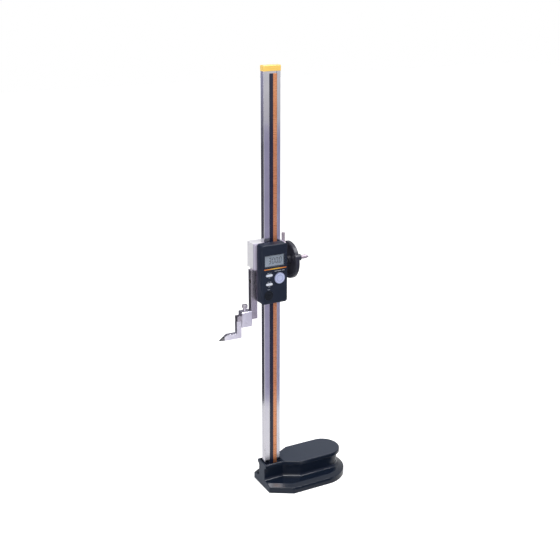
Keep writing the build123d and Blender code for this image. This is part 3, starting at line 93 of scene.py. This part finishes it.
def mix_colours(tree, factor, first, second):
    """Colour that goes from first to second with the factor; each is a colour or a socket."""
    mixed = node(tree, "ShaderNodeMix", data_type="RGBA")
    tree.links.new(factor, mixed.inputs["Factor"])
    for socket, value in ((mixed.inputs[MIX_COLOUR_A], first), (mixed.inputs[MIX_COLOUR_B], second)):
        if isinstance(value, tuple):
            socket.default_value = (*value, 1)
        else:
            tree.links.new(value, socket)
    return mixed.outputs[MIX_COLOUR_OUT]


def edge_mask(tree, radius, strength):
    """Strength on edges, 0 on open faces."""
    rounded = node(tree, "ShaderNodeBevel", samples=BEVEL_SAMPLES, Radius=radius)
    geometry = node(tree, "ShaderNodeNewGeometry")
    cosine = node(tree, "ShaderNodeVectorMath", operation="DOT_PRODUCT")
    tree.links.new(rounded.outputs["Normal"], cosine.inputs[0])
    tree.links.new(geometry.outputs["True Normal"], cosine.inputs[1])
    return remap(tree, cosine.outputs["Value"], strength, 0.0, start=EDGE_COSINE, end=FACE_COSINE)


def surface(
    name,
    colour,
    second,
    metallic=0.0,
    roughness=(0.35, 0.45),
    grain=900,
    stretch=(1, 1, 1),
    bump=0.15,
    depth=0.05,
    cloud=40,
    edge=0.25,
    edge_wear_and_sheen=None,
    wear_and_sheen_share=0.5,
    coat=0.0,
    specular=0.5,
):
    """Finish with a cloudy colour, a grain in roughness and relief, and rounded edges tinted as edge wear and
    painted highlight.

    grain and cloud are in cells per metre, depth and edge in millimetres.
    """
    material = bpy.data.materials.new(name)
    material.use_nodes = True
    tree = material.node_tree
    shader = tree.nodes["Principled BSDF"]
    shader.inputs["Metallic"].default_value = metallic
    shader.inputs["Coat Weight"].default_value = coat
    shader.inputs["Specular IOR Level"].default_value = specular
    fine = noise(tree, grain, stretch=stretch)
    painted = mix_colours(tree, remap(tree, noise(tree, cloud, detail=3.0), 0.0, 1.0), colour, second)
    # Edge tint from the rounded-edge mask: edge wear, and where it is lighter than the finish, a painted
    # highlight along the edges.
    if edge_wear_and_sheen:
        painted = mix_colours(tree, edge_mask(tree, edge * MM, wear_and_sheen_share), painted, edge_wear_and_sheen)
    tree.links.new(painted, shader.inputs["Base Color"])
    tree.links.new(remap(tree, fine, *roughness), shader.inputs["Roughness"])
    rounded = node(tree, "ShaderNodeBevel", samples=BEVEL_SAMPLES, Radius=edge * MM)
    relief = node(tree, "ShaderNodeBump", Strength=bump, Distance=depth * MM)
    tree.links.new(fine, relief.inputs["Height"])
    tree.links.new(rounded.outputs["Normal"], relief.inputs["Normal"])
    tree.links.new(relief.outputs["Normal"], shader.inputs["Normal"])
    return material


def grey(level, blue=0.0):
    """Neutral colour, or a slightly blue one."""
    return (level, level, level + blue)


def axes_of(tree, vector):
    """Outputs X, Y and Z of a vector socket."""
    parts = node(tree, "ShaderNodeSeparateXYZ")
    tree.links.new(vector, parts.inputs["Vector"])
    return parts.outputs


def place_axes(tree):
    """Outputs X, Y and Z of the place in the row frame, in metres."""
    return axes_of(tree, node(tree, "ShaderNodeTexCoord").outputs["Object"])


def repaint(material, factor, colour):
    """Goes over from the finish's own colour to another where the factor rises to 1."""
    tree = material.node_tree
    base = tree.nodes["Principled BSDF"].inputs["Base Color"]
    tree.links.new(mix_colours(tree, factor, base.links[0].from_socket, colour), base)


# ======================================================================= finishes
SQUARE_COSINES = (0.97, 0.995)  # from a slanted face to one square to an axis
PEENED_BELOW_TOP = (0.5 * MM, 0.2 * MM)  # where the peened finish begins and is full
SOLE_HEIGHTS = (0.05 * MM, 0.1 * MM)  # bare iron below the first, enamel above the second
PEENED_ROUGHNESS = 0.48


def enamelled_iron():
    """Black enamel over sand-cast iron: smooth flanks, peened top and end painted lighter as painted light,
    bare ground sole.
    """
    material = surface(
        "enamelled_iron", (0.006, 0.011, 0.024), (0.009, 0.015, 0.030), roughness=(0.14, 0.2), grain=700,
        bump=0.12, depth=0.06, cloud=12, edge=2.2, edge_wear_and_sheen=(0.04, 0.055, 0.085), wear_and_sheen_share=0.4, specular=0.3,
    )
    tree = material.node_tree
    shader = tree.nodes["Principled BSDF"]
    facing = axes_of(tree, node(tree, "ShaderNodeNewGeometry").outputs["True Normal"])
    place = place_axes(tree)
    slanted, square = SQUARE_COSINES
    begin, full = (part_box("base_casting")[1][2] - below for below in PEENED_BELOW_TOP)
    upward = remap(tree, facing["Z"], 0.0, 1.0, start=slanted, end=square)
    high = remap(tree, place["Z"], 0.0, 1.0, start=begin, end=full)
    endward = remap(tree, facing["X"], 1.0, 0.0, start=-square, end=-slanted)
    top = node(tree, "ShaderNodeMath", operation="MULTIPLY")
    tree.links.new(upward, top.inputs[0])
    tree.links.new(high, top.inputs[1])
    peened_and_painted_light = node(tree, "ShaderNodeMath", operation="MAXIMUM")
    tree.links.new(top.outputs["Value"], peened_and_painted_light.inputs[0])
    tree.links.new(endward, peened_and_painted_light.inputs[1])
    sole = remap(tree, place["Z"], 1.0, 0.0, start=SOLE_HEIGHTS[0], end=SOLE_HEIGHTS[1])
    # Top and end faces: a rougher peened finish, and a lighter colour that is painted light on faces that
    # face up and towards -X.
    repaint(material, peened_and_painted_light.outputs["Value"], (0.022, 0.032, 0.056))
    repaint(material, sole, (0.32, 0.32, 0.34))
    tree.links.new(sole, shader.inputs["Metallic"])
    rougher = node(tree, "ShaderNodeMix", data_type="FLOAT")
    tree.links.new(peened_and_painted_light.outputs["Value"], rougher.inputs["Factor"])
    tree.links.new(shader.inputs["Roughness"].links[0].from_socket, rougher.inputs[MIX_NUMBER_A])
    rougher.inputs[MIX_NUMBER_B].default_value = PEENED_ROUGHNESS
    tree.links.new(rougher.outputs[MIX_NUMBER_OUT], shader.inputs["Roughness"])
    return material


LINE_SPACING = 3.217 * MM
WAVE_PERIOD = 2 * math.pi / 20  # of a wave texture at scale 1
LINE_STRENGTH = 0.25
LINE_EDGES = (0.08, 0.12)  # shares of the spacing at which a line fades out


def scale_copper():
    """Copper pattern of the scale: fine cross lines under clear lacquer."""
    material = surface(
        "scale_copper", (0.78, 0.32, 0.15), (0.70, 0.26, 0.11), metallic=0.6, roughness=(0.24, 0.36),
        grain=2500, stretch=(0.03, 0.03, 1), bump=0.05, coat=0.4,
    )
    tree = material.node_tree
    lines = node(
        tree, "ShaderNodeTexWave", bands_direction="Z", wave_profile="SAW", Scale=WAVE_PERIOD / LINE_SPACING,
    )
    tree.links.new(row_coordinates(tree), lines.inputs["Vector"])
    dark = remap(tree, lines.outputs["Fac"], LINE_STRENGTH, 0.0, start=LINE_EDGES[0], end=LINE_EDGES[1])
    repaint(material, dark, (0.20, 0.07, 0.03))
    return material


WINDOW_ALPHA = 0.05


def clear_window():
    """Clear, slightly blue plastic."""
    material = surface(
        "window_clear", (0.80, 0.86, 0.92), (0.76, 0.83, 0.90), roughness=(0.05, 0.12), bump=0.02, edge=0.2,
    )
    material.node_tree.nodes["Principled BSDF"].inputs["Alpha"].default_value = WINDOW_ALPHA
    return material


YELLOW_SHARES = (0.15, 0.75)  # of half the stripe: pure yellow up to the first, orange from the second


def stripe_paint():
    """Stripe printed orange at its ends and yellow in its middle."""
    material = surface(
        "stripe_paint", (0.80, 0.22, 0.02), (0.74, 0.19, 0.02), roughness=(0.3, 0.4), bump=0.05,
    )
    tree = material.node_tree
    low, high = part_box("stripe_inlay")
    half = (high[0] - low[0]) / 2
    offset = node(tree, "ShaderNodeMath", operation="SUBTRACT")
    offset.inputs[1].default_value = (low[0] + high[0]) / 2
    distance = node(tree, "ShaderNodeMath", operation="ABSOLUTE")
    tree.links.new(place_axes(tree)["X"], offset.inputs[0])
    tree.links.new(offset.outputs["Value"], distance.inputs[0])
    core, end = (share * half for share in YELLOW_SHARES)
    yellow = remap(tree, distance.outputs["Value"], 1.0, 0.0, start=core, end=end)
    repaint(material, yellow, (0.90, 0.52, 0.03))
    return material


FRONT_BAND_WIDTH = 7.5 * MM
BAND_FADE = 0.5 * MM


def slider_alloy():
    """Pale blasted alloy with a darker lavender band along the slider's front."""
    material = surface(
        "blasted_slider_chrome", (0.95, 0.94, 0.97), (0.91, 0.90, 0.94), metallic=0.25,
        roughness=(0.34, 0.46), grain=1800, bump=0.12, edge=0.6, edge_wear_and_sheen=grey(0.88),
    )
    tree = material.node_tree
    band_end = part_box("slider_body")[0][1] + FRONT_BAND_WIDTH
    # Darker lavender over the front band of every face of the slider, up to a set distance from its front.
    front_band = remap(tree, place_axes(tree)["Y"], 1.0, 0.0, start=band_end - BAND_FADE, end=band_end)
    repaint(material, front_band, (0.56, 0.52, 0.66))
    return material


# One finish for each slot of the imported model, and two that single nodes have.
FINISHES = {
    "painted_casting": enamelled_iron(),
    "column_steel": surface(
        "ground_column_steel", (0.62, 0.61, 0.66), (0.58, 0.57, 0.63), metallic=1.0, roughness=(0.13, 0.2),
        grain=2500, stretch=(1, 1, 0.02), bump=0.05, edge=0.4, edge_wear_and_sheen=grey(0.8),
    ),
    "scale_copper": scale_copper(),
    "scale_black": surface(
        "scale_film", (0.010, 0.013, 0.034), (0.014, 0.017, 0.042), roughness=(0.14, 0.22), bump=0.03,
        specular=0.4,
    ),
    "cap_yellow": surface(
        "cap_plastic", (0.98, 0.66, 0.16), (0.95, 0.60, 0.12), roughness=(0.3, 0.45), grain=1500, bump=0.1,
        edge=0.5, edge_wear_and_sheen=(0.95, 0.7, 0.2),
    ),
    "black_screw": surface(
        "blackened_screw", grey(0.03), grey(0.045), metallic=0.7, roughness=(0.35, 0.5), edge_wear_and_sheen=grey(0.25),
    ),
    "plated_screw": surface(
        "plated_screw", grey(0.62), grey(0.5), metallic=1.0, roughness=(0.25, 0.4), edge_wear_and_sheen=grey(0.8),
    ),
    "satin_steel": surface(
        "satin_gauge_steel", (0.74, 0.72, 0.81), (0.69, 0.67, 0.77), metallic=1.0, roughness=(0.26, 0.38),
        grain=1600, stretch=(1, 1, 0.12), bump=0.08, edge=0.5, edge_wear_and_sheen=grey(0.82),
    ),
    "arm_steel": surface(
        "ground_arm_steel", (0.46, 0.42, 0.49), (0.42, 0.39, 0.45), metallic=1.0, roughness=(0.24, 0.34),
        grain=1600, stretch=(1, 1, 0.06), bump=0.08, edge=0.5, edge_wear_and_sheen=grey(0.8),
    ),
    "slider_chrome": slider_alloy(),
    "cover_plate": surface(
        "rear_cover_paint", (0.02, 0.022, 0.03), (0.03, 0.032, 0.04), roughness=(0.4, 0.55), grain=1500,
        bump=0.2, edge=0.5, edge_wear_and_sheen=grey(0.3),
    ),
    "carbide": surface(
        "ground_carbide", grey(0.2, 0.01), grey(0.15, 0.01), metallic=1.0, roughness=(0.3, 0.4), grain=3000,
        edge_wear_and_sheen=grey(0.5),
    ),
    "case_plastic": surface(
        "case_plastic_grain", (0.006, 0.012, 0.028), (0.008, 0.015, 0.033), roughness=(0.36, 0.5), grain=2600,
        bump=0.3, depth=0.04, edge=0.6, edge_wear_and_sheen=(0.04, 0.055, 0.09), specular=0.25,
    ),
    "window_clear": clear_window(),
    "lcd_grey": surface(
        "lcd_panel", (0.25, 0.30, 0.38), (0.28, 0.34, 0.42), roughness=(0.25, 0.35), bump=0.03, cloud=15,
    ),
    "stripe_orange": stripe_paint(),
    "circuit_board": surface(
        "solder_mask", (0.01, 0.14, 0.05), (0.015, 0.18, 0.07), roughness=(0.3, 0.45), grain=1200,
    ),
    "black_plastic": surface(
        "black_moulding", (0.003, 0.005, 0.010), (0.004, 0.007, 0.013), roughness=(0.4, 0.55), grain=2000,
        bump=0.25, edge_wear_and_sheen=(0.03, 0.04, 0.06), specular=0.2,
    ),
    "black_rubber": surface(
        "soft_rubber", grey(0.02), grey(0.03), roughness=(0.6, 0.75), grain=1800, bump=0.3,
    ),
    "key_white": surface(
        "white_key", (0.76, 0.80, 0.90), (0.70, 0.75, 0.88), roughness=(0.35, 0.5), bump=0.08, edge=0.5,
    ),
    "key_lavender": surface(
        "lavender_key", (0.50, 0.56, 0.82), (0.56, 0.61, 0.86), roughness=(0.35, 0.5), bump=0.08, edge=0.5,
    ),
    "battery_steel": surface(
        "nickel_plate", grey(0.6), grey(0.5), metallic=1.0, roughness=(0.25, 0.35),
    ),
    "bronze": surface(
        "sintered_bronze", (0.55, 0.33, 0.12), (0.45, 0.27, 0.1), metallic=1.0, roughness=(0.35, 0.5),
        grain=1500, bump=0.3,
    ),
    "housing_alloy": surface(
        "turned_alloy", grey(0.42, 0.02), grey(0.36, 0.02), metallic=1.0, roughness=(0.28, 0.42), grain=2500,
        stretch=(1, 0.05, 0.05), bump=0.1, edge_wear_and_sheen=grey(0.7),
    ),
    "shaft_steel": surface(
        "ground_shaft", grey(0.55), grey(0.48), metallic=1.0, roughness=(0.2, 0.3), grain=2500, bump=0.05,
    ),
    "wheel_black": surface(
        "wheel_moulding", (0.017, 0.018, 0.032), (0.026, 0.027, 0.044), roughness=(0.34, 0.44), grain=1400,
        bump=0.12, edge=0.8, edge_wear_and_sheen=(0.07, 0.08, 0.1), specular=0.35,
    ),
    "handle_chrome": surface(
        "handle_chrome_plate", (0.44, 0.38, 0.44), (0.40, 0.34, 0.40), metallic=0.4, roughness=(0.42, 0.52),
        grain=2000, bump=0.03,
    ),
}

OWN_FINISH = {"slider_body": "slider_chrome", "measuring_arm": "arm_steel"}
for name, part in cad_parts.items():
    for slot in part.material_slots:
        slot.material = FINISHES[OWN_FINISH.get(name, slot.material.name.split(".")[0])]

# ===================================================================== mesh helpers


def linked_object(name, bm, finish):
    """Object of the bmesh, in the scene, with its finish."""
    mesh = bpy.data.meshes.new(name)
    bm.to_mesh(mesh)
    bm.free()
    mesh.materials.append(finish)
    made = bpy.data.objects.new(name, mesh)
    bpy.context.scene.collection.objects.link(made)
    return made


def mesh_object(name, bm, finish, body, smooth=35):
    """Piece of the bmesh that rides on the body, smooth up to an angle in degrees."""
    bmesh.ops.recalc_face_normals(bm, faces=bm.faces)
    made = linked_object(name, bm, finish)
    for polygon in made.data.polygons:
        polygon.use_smooth = smooth > 0
    if smooth > 0:
        made.data.set_sharp_from_angle(angle=math.radians(smooth))
    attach(made, body)
    return made


def centre_of(name):
    """Middle of a CAD node's box."""
    low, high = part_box(name)
    return (Vector(low) + Vector(high)) / 2


def slab(bm, points, front, thickness):
    """Flat prism in a plane square to Y: points are (x, z), its front at y = front."""
    fore = [bm.verts.new((x, front, z)) for x, z in points]
    rear = [bm.verts.new((x, front + thickness, z)) for x, z in points]
    bm.faces.new(fore)
    bm.faces.new(list(reversed(rear)))
    for index, start in enumerate(fore):
        after = (index + 1) % len(fore)
        bm.faces.new((start, rear[index], rear[after], fore[after]))


def join_rings(bm, rings):
    """Faces between each ring of vertices and the next, and from the last to the first."""
    steps = len(rings[0])
    for fore, rear in zip(rings, rings[1:] + rings[:1]):
        for step in range(steps):
            after = (step + 1) % steps
            bm.faces.new((fore[step], fore[after], rear[after], rear[step]))


def rectangle(bm, x, z, width, height, front, thickness):
    """Thin rectangle about a middle point, in a plane square to Y."""
    half_x = width / 2
    half_z = height / 2
    points = [
        (x - half_x, z - half_z),
        (x + half_x, z - half_z),
        (x + half_x, z + half_z),
        (x - half_x, z + half_z),
    ]
    slab(bm, points, front, thickness)


def turned(name, origin, axis, profile, finish, body, steps=48, ribs=0, rib_depth=0.0):
    """Closed turned shape: profile is (along the axis, radius, ribbed or not), all in metres."""
    bm = bmesh.new()
    axis = Vector(axis).normalized()
    across = axis.orthogonal().normalized()
    aside = axis.cross(across)
    rings = []
    for along, radius, ribbed in profile:
        middle = origin + axis * along
        ring = []
        for step in range(steps):
            turn = 2 * math.pi * step / steps
            reach = radius
            if ribbed:
                reach -= rib_depth * abs((step * ribs / steps) % 1 - 0.5) * 2
            outward = across * math.cos(turn) + aside * math.sin(turn)
            ring.append(bm.verts.new(middle + outward * reach))
        rings.append(ring)
    join_rings(bm, rings)
    return mesh_object(name, bm, finish, body)


# ================================================================== turned pieces
# Barrel of the handle, millimetres along its axis and of radius, from the boss's end.
HANDLE_PROFILE = (
    (0.0, 1.75), (0.0, 2.7), (0.35, 3.1), (1.2, 3.25), (3.0, 3.5), (5.5, 3.7), (8.0, 3.74), (10.5, 3.66),
    (12.5, 3.45), (13.8, 3.15), (14.6, 2.7), (15.0, 2.2), (15.0, 1.75),
)


def crank_barrel():
    """Barrel-shaped crank handle with a bore for its pin."""
    low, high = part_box("crank_handle")
    middle = centre_of("crank_handle")
    fit = (high[0] - low[0]) / HANDLE_PROFILE[-1][0]
    profile = [(along * fit, radius * MM, False) for along, radius in HANDLE_PROFILE]
    origin = Vector((low[0], middle.y, middle.z))
    made = turned("crank_barrel", origin, (1, 0, 0), profile, FINISHES["handle_chrome"], "crank_handle")
    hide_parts("crank_handle")


HEAD_RADIUS = 5.2 * MM
HEAD_HEIGHT = 6.2 * MM
HEAD_BEVEL = 0.5 * MM
NECK_HEIGHT = 3.2 * MM
NECK_RADIUS = 3.1 * MM
STEM_RADIUS = 2.0 * MM
THREAD_DEPTH = 0.28 * MM
THREAD_PITCH = 0.7 * MM
DIMPLE_RADIUS = 2.6 * MM
DIMPLE_DEPTH = 0.35 * MM
DIMPLE_FLOOR = 0.8  # of its radius, where its slope ends
DIMPLE_DISH = 1.2  # of its depth, at the middle
AXIS_RADIUS = 0.05 * MM  # of the fine bore that closes the shape along its axis
KNURLS = 28
KNURL_DEPTH = 0.35 * MM
STEPS_PER_KNURL = 4


def thumb_screw_knurled():
    """Thumb screw: knurled head with a dimple, neck and threaded stem."""
    low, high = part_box("thumb_screw")
    middle = centre_of("thumb_screw")
    bottom = low[2]
    top = high[2] - bottom
    head = top - HEAD_HEIGHT
    neck = head - NECK_HEIGHT
    profile = [(0.0, STEM_RADIUS - THREAD_DEPTH * 2, False)]
    along = THREAD_PITCH
    while along < neck - THREAD_PITCH:
        profile.append((along, STEM_RADIUS - THREAD_DEPTH, False))
        profile.append((along + THREAD_PITCH / 2, STEM_RADIUS, False))
        along += THREAD_PITCH
    profile += [
        (neck, STEM_RADIUS - THREAD_DEPTH, False),
        (neck, NECK_RADIUS, False),
        (head, NECK_RADIUS, False),
        (head, HEAD_RADIUS - HEAD_BEVEL, True),
        (head + HEAD_BEVEL, HEAD_RADIUS, True),
        (top - HEAD_BEVEL, HEAD_RADIUS, True),
        (top, HEAD_RADIUS - HEAD_BEVEL * 2, False),
        (top, DIMPLE_RADIUS, False),
        (top - DIMPLE_DEPTH, DIMPLE_RADIUS * DIMPLE_FLOOR, False),
        (top - DIMPLE_DEPTH * DIMPLE_DISH, AXIS_RADIUS, False),
        (0.0, AXIS_RADIUS, False),
    ]
    made = turned(
        "thumb_screw_knurled", Vector((middle.x, middle.y, bottom)), (0, 0, 1), profile,
        FINISHES["arm_steel"], "thumb_screw", steps=KNURLS * STEPS_PER_KNURL, ribs=KNURLS,
        rib_depth=KNURL_DEPTH,
    )
    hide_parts("thumb_screw")


crank_barrel()
thumb_screw_knurled()

# ==================================================================== liquid crystal
DIGIT_SEGMENTS = {"0": "abcdef", "3": "abgcd"}
READING = "300.0"
READING_INSET = 3.6 * MM  # from the window's right edge
DIGIT_HEIGHT = 11.4 * MM
DIGIT_WIDTH = 5.2 * MM
DIGIT_PITCH = 7.0 * MM
SEGMENT = 1.35 * MM
SEGMENT_GAP = 0.1 * MM
DIGIT_SLANT = 0.09
INK_THICKNESS = 0.04 * MM
INK_GAP = 0.03 * MM


def segment_outlines():
    """Outline of each of the seven bars in a digit's own place, from its lower left corner."""
    half = SEGMENT / 2
    right = DIGIT_WIDTH - half
    middle = DIGIT_HEIGHT / 2
    top = DIGIT_HEIGHT - half

    def bar(x0, z0, x1, z1):
        """Six-sided bar between two ends."""
        along = Vector((x1 - x0, z1 - z0)).normalized()
        across = Vector((-along.y, along.x)) * half
        start = Vector((x0, z0)) + along * SEGMENT_GAP
        end = Vector((x1, z1)) - along * SEGMENT_GAP
        return [
            start,
            start + along * half - across,
            end - along * half - across,
            end,
            end - along * half + across,
            start + along * half + across,
        ]

    return {
        "a": bar(half, top, right, top),
        "b": bar(right, middle, right, top),
        "c": bar(right, half, right, middle),
        "d": bar(half, half, right, half),
        "e": bar(half, half, half, middle),
        "f": bar(half, middle, half, top),
        "g": bar(half, middle, right, middle),
    }


def lcd_reading():
    """Digits of the reading, on the front of the liquid-crystal panel."""
    low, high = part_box("lcd_window")
    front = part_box("lcd_module")[0][1] - INK_GAP
    right = high[0] - READING_INSET
    base = (low[2] + high[2]) / 2 - DIGIT_HEIGHT / 2
    bm = bmesh.new()
    outlines = segment_outlines()
    x = right - DIGIT_PITCH * sum(1 for sign in READING if sign != ".")
    for sign in READING:
        if sign == ".":
            dot_x = x - (DIGIT_PITCH - DIGIT_WIDTH) / 2
            rectangle(bm, dot_x, base + SEGMENT / 2, SEGMENT, SEGMENT, front, INK_THICKNESS)
            continue
        for letter in DIGIT_SEGMENTS[sign]:
            points = [(x + p.x + DIGIT_SLANT * p.y, base + p.y) for p in outlines[letter]]
            slab(bm, points, front, INK_THICKNESS)
        x += DIGIT_PITCH
    ink = surface("lcd_ink", (0.006, 0.010, 0.025), (0.008, 0.013, 0.03), roughness=(0.4, 0.5), bump=0.02)
    mesh_object("lcd_reading", bm, ink, "slider", smooth=0)


lcd_reading()

# ========================================================================= key marks
MARK_DEPTH = 0.05 * MM
MARK_HEIGHT = 0.6 * MM
# Dashes about a key's middle, in millimetres: (offset in x, offset in z, length).
SMALL_KEY_DASHES = ((-2.2, 4.3, 3.2), (2.4, 4.3, 3.2), (0.2, -4.5, 3.2))
ROUND_KEY_DASHES = ((-8.0, 14.2, 5.0), (-0.8, 14.2, 7.5), (7.0, 14.2, 5.5))
ROUND_KEY_DASH_HEIGHT = 0.7 * MM
BATTERY_DASHES = ((0.0, 11.4, 5.0),)


def key_marks():
    """Printed dashes by the keys, in place of words."""
    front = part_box("stripe_inlay")[0][1] - MARK_DEPTH
    bm = bmesh.new()
    for key, dashes, height in (
        ("power_button", SMALL_KEY_DASHES, MARK_HEIGHT),
        ("zero_button", SMALL_KEY_DASHES, MARK_HEIGHT),
        ("data_button", ROUND_KEY_DASHES, ROUND_KEY_DASH_HEIGHT),
        ("battery_cap", BATTERY_DASHES, MARK_HEIGHT),
    ):
        middle = centre_of(key)
        for across, up, length in dashes:
            rectangle(
                bm, middle.x + across * MM, middle.z + up * MM, length * MM, height, front, MARK_DEPTH,
            )
    print_white = surface(
        "printed_marks", (0.62, 0.66, 0.74), (0.56, 0.6, 0.68), roughness=(0.4, 0.5), grain=3000, bump=0.05,
    )
    mesh_object("key_marks", bm, print_white, "slider", smooth=0)


key_marks()

RING_OUTER = 6.4 * MM
RING_INNER = 5.6 * MM
RIM_OUTER = 10.1 * MM
RIM_INNER = 9.3 * MM
RING_STEPS = 48


def key_rings():
    """Printed rings on the round key."""
    middle = centre_of("data_button")
    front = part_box("data_button")[0][1] - INK_GAP
    bm = bmesh.new()
    for outer, inner in ((RING_OUTER, RING_INNER), (RIM_OUTER, RIM_INNER)):
        loops = []
        for radius, depth in ((outer, 0.0), (inner, 0.0), (inner, INK_THICKNESS), (outer, INK_THICKNESS)):
            loop = []
            for step in range(RING_STEPS):
                turn = 2 * math.pi * step / RING_STEPS
                x = middle.x + radius * math.cos(turn)
                z = middle.z + radius * math.sin(turn)
                loop.append(bm.verts.new((x, front + depth, z)))
            loops.append(loop)
        join_rings(bm, loops)
    violet = surface("key_print", (0.26, 0.29, 0.52), (0.30, 0.33, 0.56), roughness=(0.4, 0.5), bump=0.05)
    mesh_object("key_rings", bm, violet, "data_button", smooth=0)


key_rings()

# ============================================================================ stage
FLOOR_HALF = 6.0
FLOOR_LIFT = 0.66
MIRRORED_SHARE = 0.3


def seen_directly(tree, mirrored=1.0):
    """1 where the camera looks, mirrored where a mirror or glass looks, 0 for light on its way."""
    rays = node(tree, "ShaderNodeLightPath")
    seen = rays.outputs["Is Camera Ray"]
    for kind in ("Is Glossy Ray", "Is Transmission Ray"):
        share = remap(tree, rays.outputs[kind], 0.0, mirrored, start=0.0, end=1.0)
        either = node(tree, "ShaderNodeMath", operation="MAXIMUM")
        tree.links.new(seen, either.inputs[0])
        tree.links.new(share, either.inputs[1])
        seen = either.outputs["Value"]
    return seen


def lift_to_white(material, lift, mirrored):
    """Raises a pale surface to plain white where it is looked at; shadows on it stay."""
    tree = material.node_tree
    glow = node(tree, "ShaderNodeEmission")
    level = remap(tree, seen_directly(tree, mirrored), 0.0, lift, start=0.0, end=1.0)
    tree.links.new(level, glow.inputs["Strength"])
    both = node(tree, "ShaderNodeAddShader")
    tree.links.new(tree.nodes["Principled BSDF"].outputs["BSDF"], both.inputs[0])
    tree.links.new(glow.outputs["Emission"], both.inputs[1])
    tree.links.new(both.outputs["Shader"], tree.nodes["Material Output"].inputs["Surface"])


def floor():
    """Wide pale floor."""
    bm = bmesh.new()
    corners = ((-1, -1), (1, -1), (1, 1), (-1, 1))
    bm.faces.new([bm.verts.new((x * FLOOR_HALF, y * FLOOR_HALF, 0)) for x, y in corners])
    pale = surface("floor_paper", grey(0.86), grey(0.84), roughness=(0.6, 0.7), grain=60, cloud=3, bump=0.02)
    lift_to_white(pale, FLOOR_LIFT, MIRRORED_SHARE)
    linked_object("floor", bm, pale)


floor()

# Sky: soft light on the object, and plain white where the camera, mirrors and glass look.
SKY_LIGHT = 0.45
world = bpy.data.worlds.new("studio")
bpy.context.scene.world = world
world.use_nodes = True
sky = world.node_tree
strength = remap(sky, seen_directly(sky), SKY_LIGHT, 1.0, start=0.0, end=1.0)
sky.links.new(strength, sky.nodes["Background"].inputs["Strength"])
sky.nodes["Background"].inputs["Color"].default_value = (1, 1, 1, 1)


def soft_box(name, place, target, size, power, only_mirrored=False):
    """Rectangular area lamp aimed at a point; one that is only mirrored gives highlights alone."""
    data = bpy.data.lights.new(name, "AREA")
    data.shape = "RECTANGLE"
    data.size, data.size_y = size
    data.energy = power
    lamp = bpy.data.objects.new(name, data)
    lamp.location = place
    lamp.rotation_euler = (Vector(target) - Vector(place)).to_track_quat("-Z", "Y").to_euler()
    lamp.visible_diffuse = not only_mirrored
    bpy.context.scene.collection.objects.link(lamp)


MIDDLE = (0, 0, 0.35)
soft_box("overhead_strip", (0.3, -0.5, 2.0), (0.3, 0, 0.1), (3.0, 0.22), 25)
soft_box("highlight_box", (0.5, -0.6, 2.0), (0.5, -0.6, 0), (2.2, 0.8), 50, only_mirrored=True)
soft_box("front_box", (-1.2, -2.0, 1.7), MIDDLE, (1.0, 1.0), 8)
soft_box("left_box", (-1.9, 0.2, 1.0), MIDDLE, (0.8, 1.2), 8)


def card(name, corners, shade, upper_shade=None, fade=(0.0, 1.0)):
    """Card that only mirrors see; its shade may go over to another between two heights."""
    bm = bmesh.new()
    bm.faces.new([bm.verts.new(corner) for corner in corners])
    felt = surface(name, shade, shade, roughness=(0.9, 1.0), specular=0.0)
    if upper_shade:
        height = place_axes(felt.node_tree)["Z"]
        repaint(felt, remap(felt.node_tree, height, 0.0, 1.0, start=fade[0], end=fade[1]), upper_shade)
    made = linked_object(name, bm, felt)
    made.visible_camera = False
    made.visible_diffuse = False
    made.visible_shadow = False
    made.visible_transmission = False


def upright(along, distance, sides, heights):
    """Corners of a card that stands square to a level direction from the column."""
    direction = Vector((along[0], along[1], 0)).normalized()
    side = Vector((-direction.y, direction.x, 0))
    middle = direction * distance
    corners = ((0, 0), (1, 0), (1, 1), (0, 1))
    return [middle + side * sides[i] + Vector((0, 0, heights[j])) for i, j in corners]


# The polished column shows the front card on its front and the side card on its left face; the
# base's flank shows the floor cards.
CARD_DISTANCE = 0.36
FRONT_WAY = (0.47, -0.88)
REAR_WAY = (-0.47, 0.88)
FLOOR_CARD_NEAR = -0.066  # just in front of the base
FLOOR_CARD_LEVEL = 0.002
card("front_card", upright(FRONT_WAY, CARD_DISTANCE, (-0.06, 0.5), (0.005, 0.65)), (0.58, 0.55, 0.77))
card(
    "side_card", upright(REAR_WAY, CARD_DISTANCE, (-0.5, 0.5), (0.005, 0.84)), (0.11, 0.11, 0.13),
    upper_shade=(0.50, 0.50, 0.66), fade=(0.60, 0.78),
)
for name, left, right, far in (
    ("floor_card_left", -0.15, 0.1, -0.1),
    ("floor_card_right", 0.1, 0.35, -0.165),
):
    floor_corners = [
        (left, FLOOR_CARD_NEAR, FLOOR_CARD_LEVEL),
        (right, FLOOR_CARD_NEAR, FLOOR_CARD_LEVEL),
        (right, far, FLOOR_CARD_LEVEL),
        (left, far, FLOOR_CARD_LEVEL),
    ]
    card(name, floor_corners, (0.01, 0.015, 0.03))

# =========================================================================== camera
CAMERA_PLACE = (-0.749078, -1.451897, 0.979111)
CAMERA_HEADING = 0.486  # from +Y towards +X, radians
CAMERA_DOWN = 0.328
CAMERA_ROLL = -0.002
FOCAL_PIXELS = 941.315
IMAGE_PIXELS = 560
SENSOR = 36.0

camera_data = bpy.data.cameras.new("camera")
camera_data.sensor_width = SENSOR
camera_data.lens = FOCAL_PIXELS / IMAGE_PIXELS * SENSOR
camera = bpy.data.objects.new("camera", camera_data)
camera.location = CAMERA_PLACE
camera.rotation_euler = (math.pi / 2 - CAMERA_DOWN, CAMERA_ROLL, -CAMERA_HEADING)
bpy.context.scene.collection.objects.link(camera)
bpy.context.scene.camera = camera
bpy.context.scene.view_settings.view_transform = "Standard"
